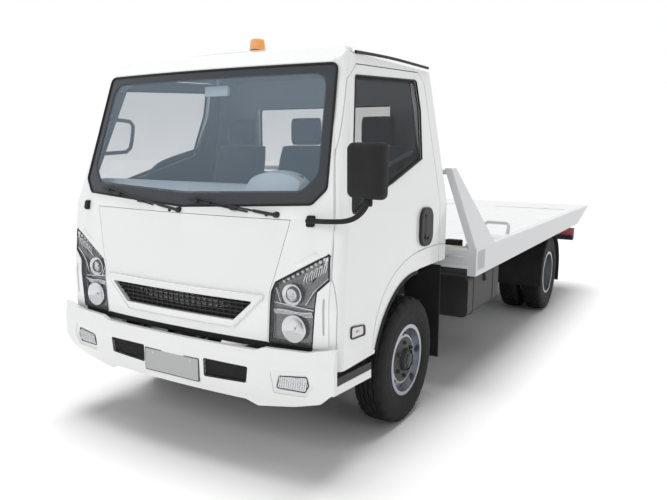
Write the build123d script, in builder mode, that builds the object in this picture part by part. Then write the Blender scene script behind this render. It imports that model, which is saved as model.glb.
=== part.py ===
from build123d import *
import os
from math import cos, radians, sin, sqrt

os.makedirs("parts", exist_ok=True)

# Frame: X to the truck's left, Y to its rear, Z up, millimetres, floor at Z 0

# Driving dimensions of the whole truck
TRUCK_LENGTH = 5980
WHEELBASE = 3365
FRONT_OVERHANG = 1025
FRONT_END_Y = -TRUCK_LENGTH / 2
REAR_END_Y = TRUCK_LENGTH / 2
FRONT_AXLE_Y = FRONT_END_Y + FRONT_OVERHANG
REAR_AXLE_Y = FRONT_AXLE_Y + WHEELBASE

# Wheels, 7.00 R16 tyres
TYRE_R = 389
BEAD_R = 205
RIM_FLANGE_R = 219
FRONT_TRACK_X = 864
TWIN_MID_X = 844
TWIN_SPACING = 236
KINGPIN_X = 776
AXLE_Z = TYRE_R

# Frame rails
RAIL_OUT_X = 410
RAIL_FLANGE = 60
RAIL_WALL = 8
RAIL_TOP_Z = 700
RAIL_DEPTH = 180
RAIL_BOTTOM_Z = RAIL_TOP_Z - RAIL_DEPTH
RAIL_IN_X = RAIL_OUT_X - RAIL_FLANGE
RAIL_MID_X = (RAIL_OUT_X + RAIL_IN_X) / 2
RAIL_FRONT_Y = FRONT_AXLE_Y - 700
RAIL_REAR_Y = REAR_AXLE_Y + 830

# Cab outside
CAB_HALF_W = 985
CAB_WAIST_Z = 1325
NOSE_Z = 900
CAB_EAVE_X = 837
CAB_EAVE_Z = 2156
CAB_CREST_Z = 2243
CAB_FRONT_Y = FRONT_END_Y + 53
CAB_REAR_Y = FRONT_AXLE_Y + 550
CAB_WALL = 50
FRONT_BEND_R = 6700
FRONT_BEND_AXIS_Y = CAB_FRONT_Y + FRONT_BEND_R
CORNER_R = 55
FRONT_FOOT_Z = 690
STEP_Z = 580
ARCH_R = 545
CAB_UNDER_Z = 948
HINGE_Y = FRONT_AXLE_Y - 860
HINGE_Z = 720

# Doors and glass
DOOR_GAP = 5
DOOR_FRONT_Y = FRONT_AXLE_Y - 878
DOOR_REAR_Y = FRONT_AXLE_Y + 380
GLASS_T = 6
GLASS_INSET = 12
SCREEN_INSET = 3
PANEL_T = 22
LAMP_T = 40

# Bed
BED_HALF_W = 1150
BED_FRONT_Y = CAB_REAR_Y + 100
BED_RAIL_W = 60
BED_RAIL_BOTTOM_Z = 818
BED_RAIL_TOP_Z = 1000
DECK_TOP_Z = 955
DECK_PLATE = 10
DECK_BEAM = 55
RUNNER_BOTTOM_Z = 800
TAIL_SLOPE_Y = REAR_END_Y - 631
POST_TOP_Z = 1540
POST_TOP_X = 955
SLIDE_GAP = 5

# Bed tilting gear
TILT_HINGE_Y = REAR_AXLE_Y + 915
TILT_HINGE_Z = RAIL_TOP_Z
SUB_OUT_X = 404
SUB_FRONT_Y = FRONT_AXLE_Y + 950
SUB_REAR_Y = TILT_HINGE_Y + 55
SUB_BOTTOM_Z = RAIL_TOP_Z + SLIDE_GAP
SUB_TOP_Z = RUNNER_BOTTOM_Z - SLIDE_GAP
SLIDE_AXIS_Z = (SUB_BOTTOM_Z + SUB_TOP_Z) / 2
SLIDE_BARREL_R = 42
SLIDE_ROD_R = 25
SLIDE_BARREL_FRONT_Y = FRONT_AXLE_Y + 1000
SLIDE_BARREL_REAR_Y = SLIDE_BARREL_FRONT_Y + 2950
SLIDE_ANCHOR_Y = SLIDE_BARREL_REAR_Y + 80
RAM_BASE_Y = REAR_AXLE_Y - 265
RAM_BASE_Z = 500
RAM_EYE_Y = RAM_BASE_Y - 800
RAM_EYE_Z = 722
RAM_X = 250
RAM_R = 42
RAM_ROD_R = 24
RAM_EYE_R = 28
EYE_HALF_W = 24
PIN_R = 16
PIN_FIT = 0.3
SEAT_FIT = 0.3
PLATE = 12

# Hinge ears, front end and smaller fittings
EAR_IN_X = 430
EAR_OUT_X = 448
EAR_R = 28
DOOR_HINGE_Z = (780, 1220)
HANDLE_T = 20
PANEL_GAP = 3
GRILLE_RIM_T = 14
GRILLE_PITCH = 40
BOWL_DEPTH = 26
LAMP_BOWLS = (
    # x, z, radius
    (722, 948, 46),
    (735, 780, 58),
)
WIPER_R = 8
WIPER_TABLE = (
    # pivot x, pivot z, tip x, tip z
    (-10, 1336, -690, 1440),
    (620, 1342, 45, 1410),
)
BUMPER_BACK_Y = FRONT_END_Y + 33
BUMPER_POINTS = (
    # x, z in front view
    (-990, 712), (-838, 682), (-600, 676), (-545, 656), (545, 656), (600, 676), (838, 682), (990, 712),
    (990, 495), (915, 427), (768, 387), (551, 353), (480, 378), (-480, 378), (-551, 353), (-768, 387),
    (-915, 427), (-990, 495),
)
BUMPER_SLOT_POINTS = ((223, 563), (505, 560), (493, 477), (226, 467))
FOG_POINTS = ((640, 560), (860, 590), (885, 520), (840, 455), (660, 450))
MIRROR_Y = FRONT_AXLE_Y - 915
SEAT_FRONT_Y = FRONT_AXLE_Y - 330
SEAT_TABLE = (
    # middle x, width
    (560, 480),
    (0, 420),
    (-560, 480),
)
STEER_X = 480
STEER_Y = FRONT_AXLE_Y - 440
STEER_Z = 1370
SPINDLE_R = 30
KINGPIN_R = 14
SPRING_SEAT_FRONT_Z = 432
SPRING_SEAT_REAR_Z = 446
GUARD_R = 412
GUARD_IN_X = 560
GUARD_OUT_X = 1075
HEAD_BEAM_W = 50
TAIL_RISE = 157
WEDGE_Y = REAR_END_Y - 520
RUNNER_END_Y = TAIL_SLOPE_Y - 72


def prism_x(points, x_start, x_end, radius=0, grow=0):
    """Side-view outline (y, z) extruded from x_start to x_end."""
    with BuildPart() as made:
        with BuildSketch(Plane.YZ.offset(x_start)) as outline:
            Polygon(*points, align=None)
            if grow:
                offset(amount=grow, kind=Kind.INTERSECTION, mode=Mode.REPLACE)
            if radius:
                fillet(outline.vertices(), radius)
        extrude(amount=x_end - x_start)
    return made.part


def prism_y(points, y_start, y_end, radius=0, grow=0):
    """Front-view outline (x, z) extruded from y_start to y_end."""
    with BuildPart() as made:
        with BuildSketch(Plane.XZ.offset(-y_start)) as outline:
            Polygon(*points, align=None)
            if grow:
                offset(amount=grow, kind=Kind.INTERSECTION, mode=Mode.REPLACE)
            if radius:
                fillet(outline.vertices(), radius)
        extrude(amount=y_start - y_end)
    return made.part


def block(x_start, x_end, y_start, y_end, z_start, z_end, mode=Mode.ADD):
    """Box between two corners, placed in the open builder."""
    middle = ((x_start + x_end) / 2, (y_start + y_end) / 2, (z_start + z_end) / 2)
    with Locations(middle):
        Box(abs(x_end - x_start), abs(y_end - y_start), abs(z_end - z_start), mode=mode)


def rod_x(x_start, x_end, y, z, radius, mode=Mode.ADD):
    """Round bar along X, placed in the open builder."""
    with Locations(Location(((x_start + x_end) / 2, y, z), (0, 90, 0))):
        Cylinder(radius, abs(x_end - x_start), mode=mode)


def rod_y(x, y_start, y_end, z, radius, mode=Mode.ADD):
    """Round bar along Y, placed in the open builder."""
    with Locations(Location((x, (y_start + y_end) / 2, z), (90, 0, 0))):
        Cylinder(radius, abs(y_end - y_start), mode=mode)


def rod_z(x, y, z_start, z_end, radius, mode=Mode.ADD):
    """Round bar along Z, placed in the open builder."""
    with Locations((x, y, (z_start + z_end) / 2)):
        Cylinder(radius, abs(z_end - z_start), mode=mode)


def tube_path(points, bend_r, tube_r):
    """Round tube along straight runs joined by tangent arcs."""
    with BuildPart() as made:
        with BuildLine() as path:
            FilletPolyline(*points, radius=bend_r)
        with BuildSketch(Plane(path.line @ 0, z_dir=path.line % 0)):
            Circle(tube_r)
        sweep()
    return made.part


def slope_z(y):
    """Height of the slanted underside of the bed's tail."""
    return BED_RAIL_BOTTOM_Z + TAIL_RISE * (y - TAIL_SLOPE_Y) / (REAR_END_Y - TAIL_SLOPE_Y)


# Outline of the cab, shared by its shell, doors, glass, panels and lamps
CAB_SIDE_SLOPE = (CAB_HALF_W - CAB_EAVE_X) / (CAB_EAVE_Z - CAB_WAIST_Z)


def bend_y(middle_y, x):
    """Place of the bowed front at x, from its place on the middle line."""
    radius = FRONT_BEND_AXIS_Y - middle_y
    return FRONT_BEND_AXIS_Y - sqrt(radius ** 2 - x ** 2)


def corner_cutter(low, high, outward):
    """Space outside a rounded upright cab corner; outward is -1 in front, 1 behind."""
    low = Vector(*low)
    high = Vector(*high)
    reach = high - low
    mid = 0.33 * CORNER_R
    far = 60
    with BuildPart() as made:
        with BuildSketch(Plane(origin=low - reach * 0.03, x_dir=(1, 0, 0), z_dir=reach)):
            with BuildLine():
                ThreePointArc((-CORNER_R, 0), (-mid, -outward * mid), (0, -outward * CORNER_R))
                Polyline(
                    (0, -outward * CORNER_R),
                    (far, -outward * CORNER_R),
                    (far, outward * far),
                    (-CORNER_R, outward * far),
                    (-CORNER_R, 0),
                )
            make_face()
        extrude(amount=reach.length * 1.06)
    return made.part


def cab_block(inset):
    """Closed form of the cab, every face moved inwards by inset."""
    axle = FRONT_AXLE_Y
    # y of the middle line at the foot, the nose, the waist and the eaves
    foot_y = CAB_FRONT_Y + 6 + inset
    nose_y = CAB_FRONT_Y + inset
    waist_y = axle - 926 + inset
    brow_y = axle - 683 + inset
    brow_z = 2105 - inset
    front = (
        (foot_y, STEP_Z),
        (nose_y, NOSE_Z),
        (waist_y, CAB_WAIST_Z),
        (brow_y, brow_z),
        (axle - 600 + inset * 0.8, 2186 - inset),
        (axle - 430, 2226 - inset),
        (axle - 220, CAB_CREST_Z - inset),
        (axle + 430, 2218 - inset),
        (axle + 900, 2160 - inset),
        (axle + 900, STEP_Z),
    )
    half = CAB_HALF_W - inset
    eave = CAB_EAVE_X - inset
    section = (
        (-half, STEP_Z - 50),
        (half, STEP_Z - 50),
        (half, CAB_WAIST_Z),
        (eave, CAB_EAVE_Z),
        (eave - 60, CAB_EAVE_Z + 44 - inset),
        (eave - 260, CAB_EAVE_Z + 70 - inset),
        (0, CAB_CREST_Z + 1 - inset),
        (260 - eave, CAB_EAVE_Z + 70 - inset),
        (60 - eave, CAB_EAVE_Z + 44 - inset),
        (-eave, CAB_EAVE_Z),
        (-half, CAB_WAIST_Z),
    )
    eave_y = waist_y + (brow_y - waist_y) * (CAB_EAVE_Z - CAB_WAIST_Z) / (brow_z - CAB_WAIST_Z)
    rear_y = CAB_REAR_Y - inset
    corners = (
        # lower end, upper end, outward sense
        ((half, bend_y(foot_y, half), STEP_Z), (half, bend_y(nose_y, half), NOSE_Z), -1),
        ((half, bend_y(nose_y, half), NOSE_Z), (half, bend_y(waist_y, half), CAB_WAIST_Z), -1),
        ((half, bend_y(waist_y, half), CAB_WAIST_Z), (eave, bend_y(eave_y, eave), CAB_EAVE_Z), -1),
        ((half, rear_y, STEP_Z), (half, rear_y, CAB_WAIST_Z), 1),
        ((half, rear_y, CAB_WAIST_Z), (eave, rear_y, CAB_EAVE_Z), 1),
    )
    with BuildPart() as made:
        with BuildSketch(Plane.YZ):
            Polygon(*front, align=None)
        revolve(axis=Axis((0, FRONT_BEND_AXIS_Y, 0), (0, 0, 1)))
        add(prism_y(section, FRONT_END_Y - 200, rear_y), mode=Mode.INTERSECT)
        if inset < GLASS_INSET:
            for low, high, outward in corners:
                cutter = corner_cutter(low, high, outward)
                add(cutter, mode=Mode.SUBTRACT)
                add(cutter.mirror(Plane.YZ), mode=Mode.SUBTRACT)
    return made.part


def screen_y(x, z):
    """Place of the cab's front above the waist, at x and z."""
    lean = (926 - 683) / (2105 - CAB_WAIST_Z)
    return bend_y(FRONT_AXLE_Y - 926 + lean * (z - CAB_WAIST_Z), x)


def skin(outer, inner):
    """Layer of the cab's form between two insets."""
    with BuildPart() as made:
        add(cab_block(outer))
        add(cab_block(inner), mode=Mode.SUBTRACT)
    return made.part


def side_strip(outer, inner, y_start, y_end):
    """Wall of the left cab side between two insets."""
    rise = CAB_SIDE_SLOPE * (2300 - CAB_WAIST_Z)
    points = (
        (CAB_HALF_W - outer, STEP_Z - 60),
        (CAB_HALF_W - outer, CAB_WAIST_Z),
        (CAB_HALF_W - outer - rise, 2300),
        (CAB_HALF_W - inner - rise, 2300),
        (CAB_HALF_W - inner, CAB_WAIST_Z),
        (CAB_HALF_W - inner, STEP_Z - 60),
    )
    return prism_y(points, y_start, y_end)




def door_outline(grow):
    """Door in side view, grown by the gap for its opening."""
    axle = FRONT_AXLE_Y
    radius = ARCH_R + 2 - grow
    foot_z = 572 - grow
    foot_y = axle - sqrt(radius ** 2 - (foot_z - AXLE_Z) ** 2)
    with BuildSketch(Plane.YZ.offset(600)) as outline:
        with BuildLine():
            Polyline(
                (foot_y, foot_z),
                (DOOR_FRONT_Y - grow, foot_z),
                (DOOR_FRONT_Y - grow, 1230),
                (axle - 845 - grow, 1420),
                (axle - 610 - grow, 2015),
                (axle - 500, 2098 + grow),
                (axle + 310, 2134 + grow),
                (DOOR_REAR_Y + grow, 2070),
                (DOOR_REAR_Y + grow, AXLE_Z + ARCH_R + 16 - grow),
                (axle + 70, AXLE_Z + ARCH_R + 16 - grow),
                (axle, AXLE_Z + radius),
            )
            ThreePointArc(
                (axle, AXLE_Z + radius),
                (axle - radius * sin(radians(40)), AXLE_Z + radius * cos(radians(40))),
                (foot_y, foot_z),
            )
        make_face()
    return outline.sketch


def door_prism(grow):
    """Door outline as a prism that reaches through the cab side."""
    with BuildPart() as made:
        add(door_outline(grow))
        extrude(amount=600, dir=(1, 0, 0))
    return made.part


WINDOW_POINTS = (
    # y, z in side view
    (FRONT_AXLE_Y - 770, 1345),
    (FRONT_AXLE_Y - 528, 2040),
    (FRONT_AXLE_Y + 262, 2084),
    (FRONT_AXLE_Y + 262, 1900),
    (FRONT_AXLE_Y + 185, 1612),
    (FRONT_AXLE_Y - 285, 1482),
)
SCREEN_POINTS = (
    # x, z in front view
    (-816, 2092),
    (816, 2092),
    (868, 1475),
    (800, 1398),
    (0, 1356),
    (-800, 1398),
    (-868, 1475),
)
PANEL_POINTS = (
    # x, z in front view
    (-702, 1320),
    (702, 1320),
    (628, 1030),
    (606, 960),
    (592, FRONT_FOOT_Z),
    (-592, FRONT_FOOT_Z),
    (-606, 960),
    (-628, 1030),
)
LAMP_POINTS = (
    # x, z in front view
    (597, FRONT_FOOT_Z),
    (611, 958),
    (632, 1008),
    (652, 1020),
    (CAB_HALF_W + 20, 1218),
    (CAB_HALF_W + 20, 1106),
    (868, 976),
    (846, FRONT_FOOT_Z),
)
GRILLE_POINTS = ((-520, 898), (520, 898), (393, 786), (-393, 786))
GRILLE_RIM_POINTS = ((-585, 935), (585, 935), (385, 742), (-385, 742))
FRONT_Y_SPAN = (FRONT_END_Y - 150, FRONT_AXLE_Y - 600)
LAMP_Y_SPAN = (FRONT_END_Y - 150, DOOR_FRONT_Y - DOOR_GAP)
HANDLE_Y = FRONT_AXLE_Y + 142
HANDLE_Z = 1200
CAVITY_FLOOR_Z = 790
TUNNEL_HALF_W = 520
TUNNEL_Z = 755
SCREEN_ROUND = 40
WINDOW_ROUND = 25


def cab_underside():
    """What lies below the cab: wheel arches, frame tunnel and bumper space."""
    axle = FRONT_AXLE_Y
    foot_y = axle - sqrt(ARCH_R ** 2 - (STEP_Z - AXLE_Z) ** 2)
    with BuildPart() as made:
        with BuildSketch(Plane.YZ.offset(-CAB_HALF_W - 50)):
            with BuildLine():
                Polyline(
                    (axle, AXLE_Z + ARCH_R),
                    (axle + 60, CAB_UNDER_Z),
                    (CAB_REAR_Y + 100, CAB_UNDER_Z),
                    (CAB_REAR_Y + 100, STEP_Z - 100),
                    (foot_y, STEP_Z - 100),
                    (foot_y, STEP_Z),
                )
                ThreePointArc(
                    (foot_y, STEP_Z),
                    (axle - ARCH_R * sin(radians(40)), AXLE_Z + ARCH_R * cos(radians(40))),
                    (axle, AXLE_Z + ARCH_R),
                )
            make_face()
        extrude(amount=2 * CAB_HALF_W + 100)
        block(-TUNNEL_HALF_W, TUNNEL_HALF_W, FRONT_END_Y, axle - 300, STEP_Z - 100, TUNNEL_Z)
        block(-1100, 1100, FRONT_END_Y, axle - 905, STEP_Z - 100, FRONT_FOOT_Z)
    return made.part


SEAT_BASE_Z = CAB_UNDER_Z + CAB_WALL
SEAT_BASE_Y = FRONT_AXLE_Y - 430
REAR_WINDOW_HALF_W = 560
REAR_WINDOW_Z = (1480, 1960)


# What is cut out of the cab: inside, door openings, panel seat and lamp seats
with BuildPart() as cavity:
    add(cab_block(CAB_WALL))
    block(-1000, 1000, FRONT_END_Y, FRONT_AXLE_Y + 900, 0, CAVITY_FLOOR_Z, mode=Mode.SUBTRACT)
    block(-1000, 1000, SEAT_BASE_Y, FRONT_AXLE_Y + 900, 0, SEAT_BASE_Z, mode=Mode.SUBTRACT)
    for side in (-1, 1):
        block(side * 570, side * (CAB_HALF_W - CAB_WALL), DOOR_FRONT_Y + 30, FRONT_AXLE_Y - 560,
              STEP_Z + 40, CAVITY_FLOOR_Z + 20)

with BuildPart() as door_holes:
    add(side_strip(-40, CAB_WALL + 3, FRONT_END_Y, CAB_REAR_Y))
    add(door_prism(DOOR_GAP), mode=Mode.INTERSECT)
    mirror(about=Plane.YZ)

with BuildPart() as panel_seat:
    add(skin(-20, PANEL_T))
    add(prism_y(PANEL_POINTS, *FRONT_Y_SPAN), mode=Mode.INTERSECT)

with BuildPart() as lamp_seats:
    add(skin(-30, LAMP_T))
    add(prism_y(LAMP_POINTS, *LAMP_Y_SPAN), mode=Mode.INTERSECT)
    mirror(about=Plane.YZ)

with BuildPart() as grille_rim:
    add(skin(-GRILLE_RIM_T, 0))
    add(prism_y(GRILLE_RIM_POINTS, *FRONT_Y_SPAN, radius=8), mode=Mode.INTERSECT)


# Cab: hollow shell with openings for doors, glass, panel and lamps
with BuildPart() as cab_shell:
    add(cab_block(0))
    add(cab_underside(), mode=Mode.SUBTRACT)
    add(cavity.part, mode=Mode.SUBTRACT)
    add(door_holes.part, mode=Mode.SUBTRACT)
    add(prism_y(SCREEN_POINTS, *FRONT_Y_SPAN, radius=SCREEN_ROUND), mode=Mode.SUBTRACT)
    block(-REAR_WINDOW_HALF_W, REAR_WINDOW_HALF_W, CAB_REAR_Y - 100, CAB_REAR_Y + 10,
          *REAR_WINDOW_Z, mode=Mode.SUBTRACT)
    add(panel_seat.part, mode=Mode.SUBTRACT)
    add(lamp_seats.part, mode=Mode.SUBTRACT)
    for side in (-1, 1):
        block(side * EAR_IN_X, side * EAR_OUT_X, HINGE_Y - EAR_R, HINGE_Y + EAR_R, HINGE_Z, TUNNEL_Z)
        rod_x(side * EAR_IN_X, side * EAR_OUT_X, HINGE_Y, HINGE_Z, EAR_R)
        rod_x(side * EAR_IN_X, side * EAR_OUT_X, HINGE_Y, HINGE_Z, PIN_R + PIN_FIT, mode=Mode.SUBTRACT)
        for low_z in DOOR_HINGE_Z:
            block(side * (CAB_HALF_W - CAB_WALL - 10), side * (CAB_HALF_W - CAB_WALL - SEAT_FIT),
                  DOOR_FRONT_Y + 19, DOOR_FRONT_Y + 29, low_z, low_z + 60)


# Doors, with window openings and glass
with BuildPart() as door_left:
    add(cab_block(0))
    add(side_strip(-40, CAB_WALL, FRONT_END_Y, CAB_REAR_Y), mode=Mode.INTERSECT)
    add(door_prism(0), mode=Mode.INTERSECT)
    add(prism_x(WINDOW_POINTS, 600, 1200, radius=WINDOW_ROUND), mode=Mode.SUBTRACT)

with BuildPart() as door_right:
    add(door_left.part.mirror(Plane.YZ))

with BuildPart() as door_glass_left:
    add(side_strip(GLASS_INSET, GLASS_INSET + GLASS_T, FRONT_END_Y, CAB_REAR_Y))
    add(prism_x(WINDOW_POINTS, 600, 1200, radius=WINDOW_ROUND), mode=Mode.INTERSECT)

with BuildPart() as door_glass_right:
    add(door_glass_left.part.mirror(Plane.YZ))

with BuildPart() as handle_left:
    block(CAB_HALF_W, CAB_HALF_W + HANDLE_T, HANDLE_Y - 90, HANDLE_Y + 90, HANDLE_Z - 118, HANDLE_Z + 118)
    fillet(handle_left.edges().filter_by(Axis.X), 70)
    fillet(handle_left.faces().sort_by(Axis.X)[-1].edges(), 6)
    block(CAB_HALF_W + 8, CAB_HALF_W + HANDLE_T + 5, HANDLE_Y - 52, HANDLE_Y + 20, HANDLE_Z - 75,
          HANDLE_Z + 80, mode=Mode.SUBTRACT)
    rod_z(CAB_HALF_W + 13, HANDLE_Y - 22, HANDLE_Z - 75, HANDLE_Z + 80, 8)

with BuildPart() as handle_right:
    add(handle_left.part.mirror(Plane.YZ))


# Glass, front panel, grille and headlamps
with BuildPart() as windscreen:
    add(skin(SCREEN_INSET, SCREEN_INSET + GLASS_T))
    add(prism_y(SCREEN_POINTS, *FRONT_Y_SPAN, radius=SCREEN_ROUND), mode=Mode.INTERSECT)

with BuildPart() as rear_window:
    block(-REAR_WINDOW_HALF_W, REAR_WINDOW_HALF_W, CAB_REAR_Y - 18, CAB_REAR_Y - 12, *REAR_WINDOW_Z)

with BuildPart() as front_panel:
    add(skin(0, PANEL_T))
    add(prism_y(PANEL_POINTS, *FRONT_Y_SPAN, grow=-PANEL_GAP), mode=Mode.INTERSECT)
    add(grille_rim.part)
    add(prism_y(GRILLE_POINTS, *FRONT_Y_SPAN, radius=8), mode=Mode.SUBTRACT)

with BuildPart() as grille:
    grille_width = GRILLE_POINTS[1][0] * 2
    columns = int(grille_width / GRILLE_PITCH)
    for column in range(columns + 1):
        x = -grille_width / 2 + column * GRILLE_PITCH
        block(x - 2, x + 2, *FRONT_Y_SPAN, GRILLE_POINTS[2][1], GRILLE_POINTS[0][1])
    rows = 5
    for row in range(rows + 1):
        z = GRILLE_POINTS[2][1] + (GRILLE_POINTS[0][1] - GRILLE_POINTS[2][1]) * row / rows
        block(-grille_width / 2, grille_width / 2, *FRONT_Y_SPAN, z - 3, z + 3)
    add(prism_y(GRILLE_POINTS, *FRONT_Y_SPAN, radius=8), mode=Mode.INTERSECT)
    add(skin(6, 16), mode=Mode.INTERSECT)

with BuildPart() as headlamps:
    add(skin(0, LAMP_T))
    add(prism_y(LAMP_POINTS, *LAMP_Y_SPAN), mode=Mode.INTERSECT)
    for x, z, radius in LAMP_BOWLS:
        rod_y(x, FRONT_END_Y, CAB_FRONT_Y + BOWL_DEPTH + 35, z, radius, mode=Mode.SUBTRACT)
    mirror(about=Plane.YZ)


# Bumper with fog lamps, on two brackets from the frame
with BuildPart() as front_bumper:
    with BuildSketch(Plane.YZ):
        Polygon(
            (FRONT_END_Y + 14, 725),
            (FRONT_END_Y, 600),
            (FRONT_END_Y + 4, 450),
            (FRONT_END_Y + 22, 385),
            (FRONT_END_Y + 30, 340),
            (BUMPER_BACK_Y, 340),
            (BUMPER_BACK_Y, 725),
            align=None,
        )
    revolve(axis=Axis((0, FRONT_BEND_AXIS_Y, 0), (0, 0, 1)))
    add(prism_y(BUMPER_POINTS, FRONT_END_Y - 10, FRONT_END_Y + 300), mode=Mode.INTERSECT)
    for side in (-1, 1):
        slot = tuple((side * x, z) for x, z in BUMPER_SLOT_POINTS)
        add(prism_y(slot, FRONT_END_Y - 10, FRONT_END_Y + 200, radius=8), mode=Mode.SUBTRACT)
        fog = tuple((side * x, z) for x, z in FOG_POINTS)
        add(prism_y(fog, FRONT_END_Y - 10, FRONT_END_Y + 200, radius=10), mode=Mode.SUBTRACT)
        block(side * (RAIL_IN_X + 5), side * RAIL_OUT_X, BUMPER_BACK_Y - 5, RAIL_FRONT_Y, 530, 600)

with BuildPart() as fog_shape:
    add(prism_y(FOG_POINTS, FRONT_END_Y - 10, FRONT_END_Y + 200, radius=10))
    mirror(about=Plane.YZ)

with BuildPart() as fog_lamps:
    with BuildSketch(Plane.YZ):
        Polygon(
            (FRONT_END_Y + 12, 620),
            (FRONT_END_Y + 12, 400),
            (BUMPER_BACK_Y, 400),
            (BUMPER_BACK_Y, 620),
            align=None,
        )
    revolve(axis=Axis((0, FRONT_BEND_AXIS_Y, 0), (0, 0, 1)))
    add(fog_shape.part, mode=Mode.INTERSECT)

with BuildPart() as side_sills:
    sill_front_y = BUMPER_BACK_Y + 50
    sill_rear_y = FRONT_AXLE_Y - 548
    add(prism_x(
        ((sill_front_y, 478), (sill_front_y, 520), (sill_rear_y, 500), (sill_rear_y, 455)),
        CAB_HALF_W - 45, CAB_HALF_W))
    mirror(about=Plane.YZ)
    add(front_bumper.part, mode=Mode.SUBTRACT)

with BuildPart() as steps:
    step_front_y = sill_front_y + 19
    add(prism_x(
        ((step_front_y, 520), (step_front_y, 560), (sill_rear_y + 5, 540), (sill_rear_y + 5, 500)),
        CAB_HALF_W - 250, CAB_HALF_W - 3))
    block(RAIL_OUT_X, CAB_HALF_W - 250, FRONT_AXLE_Y - 690, FRONT_AXLE_Y - 640, 520, 545)
    mirror(about=Plane.YZ)
    add(front_bumper.part, mode=Mode.SUBTRACT)


# Lights and small pieces on the cab
with BuildPart() as roof_lamps:
    with Locations((0, FRONT_AXLE_Y - 220, CAB_CREST_Z - 4)):
        Cylinder(55, 24, align=(Align.CENTER, Align.CENTER, Align.MIN))
    with Locations((0, FRONT_AXLE_Y - 220, CAB_CREST_Z + 20)):
        Cone(50, 42, 65, align=(Align.CENTER, Align.CENTER, Align.MIN))
    for side in (-1, 1):
        block(side * 770, side * 838, FRONT_AXLE_Y - 545, FRONT_AXLE_Y - 497, 2140, 2188)
    add(cab_block(0), mode=Mode.SUBTRACT)

with BuildPart() as wipers:
    for pivot_x, pivot_z, tip_x, tip_z in WIPER_TABLE:
        start = Vector(pivot_x, screen_y(pivot_x, pivot_z) - 26, pivot_z)
        end = Vector(tip_x, screen_y(tip_x, tip_z) - 14, tip_z)
        rod_y(pivot_x, start.Y - 6, start.Y + 40, pivot_z, 13)
        with BuildSketch(Plane(start, z_dir=end - start)):
            Circle(WIPER_R)
        extrude(amount=(end - start).length)
    add(cab_block(0), mode=Mode.SUBTRACT)

with BuildPart() as mirrors:
    add(tube_path(
        ((812, MIRROR_Y, 1325), (1060, MIRROR_Y, 1338), (1143, MIRROR_Y, 1420), (1143, MIRROR_Y, 1500)),
        30, 12))
    block(790, 836, MIRROR_Y - 20, MIRROR_Y + 60, 1290, 1348)
    block(1048, 1238, MIRROR_Y - 55, MIRROR_Y + 18, 1440, 1700)
    block(-836, -790, MIRROR_Y - 20, MIRROR_Y + 60, 1290, 1348)
    add(cab_block(0), mode=Mode.SUBTRACT)

with BuildPart() as intake_duct:
    block(600, 800, CAB_REAR_Y, CAB_REAR_Y + 55, 1120, 1900)
    fillet(intake_duct.edges().filter_by(Axis.Z).group_by(Axis.Y)[-1], 20)


# Cab interior
with BuildPart() as seats:
    for seat_x, seat_w in SEAT_TABLE:
        half = seat_w / 2
        block(seat_x - half, seat_x + half, SEAT_FRONT_Y, SEAT_FRONT_Y + 500, SEAT_BASE_Z, SEAT_BASE_Z + 150)
        add(prism_x(
            (
                (SEAT_FRONT_Y + 440, SEAT_BASE_Z + 100),
                (SEAT_FRONT_Y + 560, SEAT_BASE_Z + 100),
                (SEAT_FRONT_Y + 690, SEAT_BASE_Z + 700),
                (SEAT_FRONT_Y + 590, SEAT_BASE_Z + 700),
            ),
            seat_x - half + 10, seat_x + half - 10, radius=25))
        block(seat_x - 120, seat_x + 120, SEAT_FRONT_Y + 610, SEAT_FRONT_Y + 700, SEAT_BASE_Z + 690,
              SEAT_BASE_Z + 880)

with BuildPart() as dashboard:
    add(prism_x(
        (
            (FRONT_AXLE_Y - 890, 1330),
            (FRONT_AXLE_Y - 800, 1395),
            (FRONT_AXLE_Y - 700, 1468),
            (FRONT_AXLE_Y - 655, 1474),
            (FRONT_AXLE_Y - 630, 1440),
            (FRONT_AXLE_Y - 560, 1220),
            (FRONT_AXLE_Y - 680, 1010),
            (FRONT_AXLE_Y - 890, 1010),
        ),
        -900, 900, radius=20))
    add(cab_block(CAB_WALL), mode=Mode.INTERSECT)

with BuildPart() as steering_wheel:
    with Locations(Location((STEER_X, STEER_Y, STEER_Z), (-35, 0, 0))):
        Torus(205, 15)
        Cylinder(55, 40)
        for turn in (0, 120, 240):
            with Locations(Location((0, 0, 0), (0, 0, turn + 90))):
                with Locations((110, 0, 0)):
                    Box(190, 26, 12)
        with Locations((0, 0, -150)):
            Cylinder(24, 300)
    add(dashboard.part, mode=Mode.SUBTRACT)


# Chassis
with BuildPart() as frame_rails:
    with BuildSketch(Plane.XZ.offset(-RAIL_FRONT_Y)):
        Polygon(
            (RAIL_IN_X, RAIL_BOTTOM_Z),
            (RAIL_OUT_X, RAIL_BOTTOM_Z),
            (RAIL_OUT_X, RAIL_TOP_Z),
            (RAIL_IN_X, RAIL_TOP_Z),
            (RAIL_IN_X, RAIL_TOP_Z - RAIL_WALL),
            (RAIL_OUT_X - RAIL_WALL, RAIL_TOP_Z - RAIL_WALL),
            (RAIL_OUT_X - RAIL_WALL, RAIL_BOTTOM_Z + RAIL_WALL),
            (RAIL_IN_X, RAIL_BOTTOM_Z + RAIL_WALL),
            align=None,
        )
    extrude(amount=RAIL_FRONT_Y - RAIL_REAR_Y)
    mirror(about=Plane.YZ)

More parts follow.
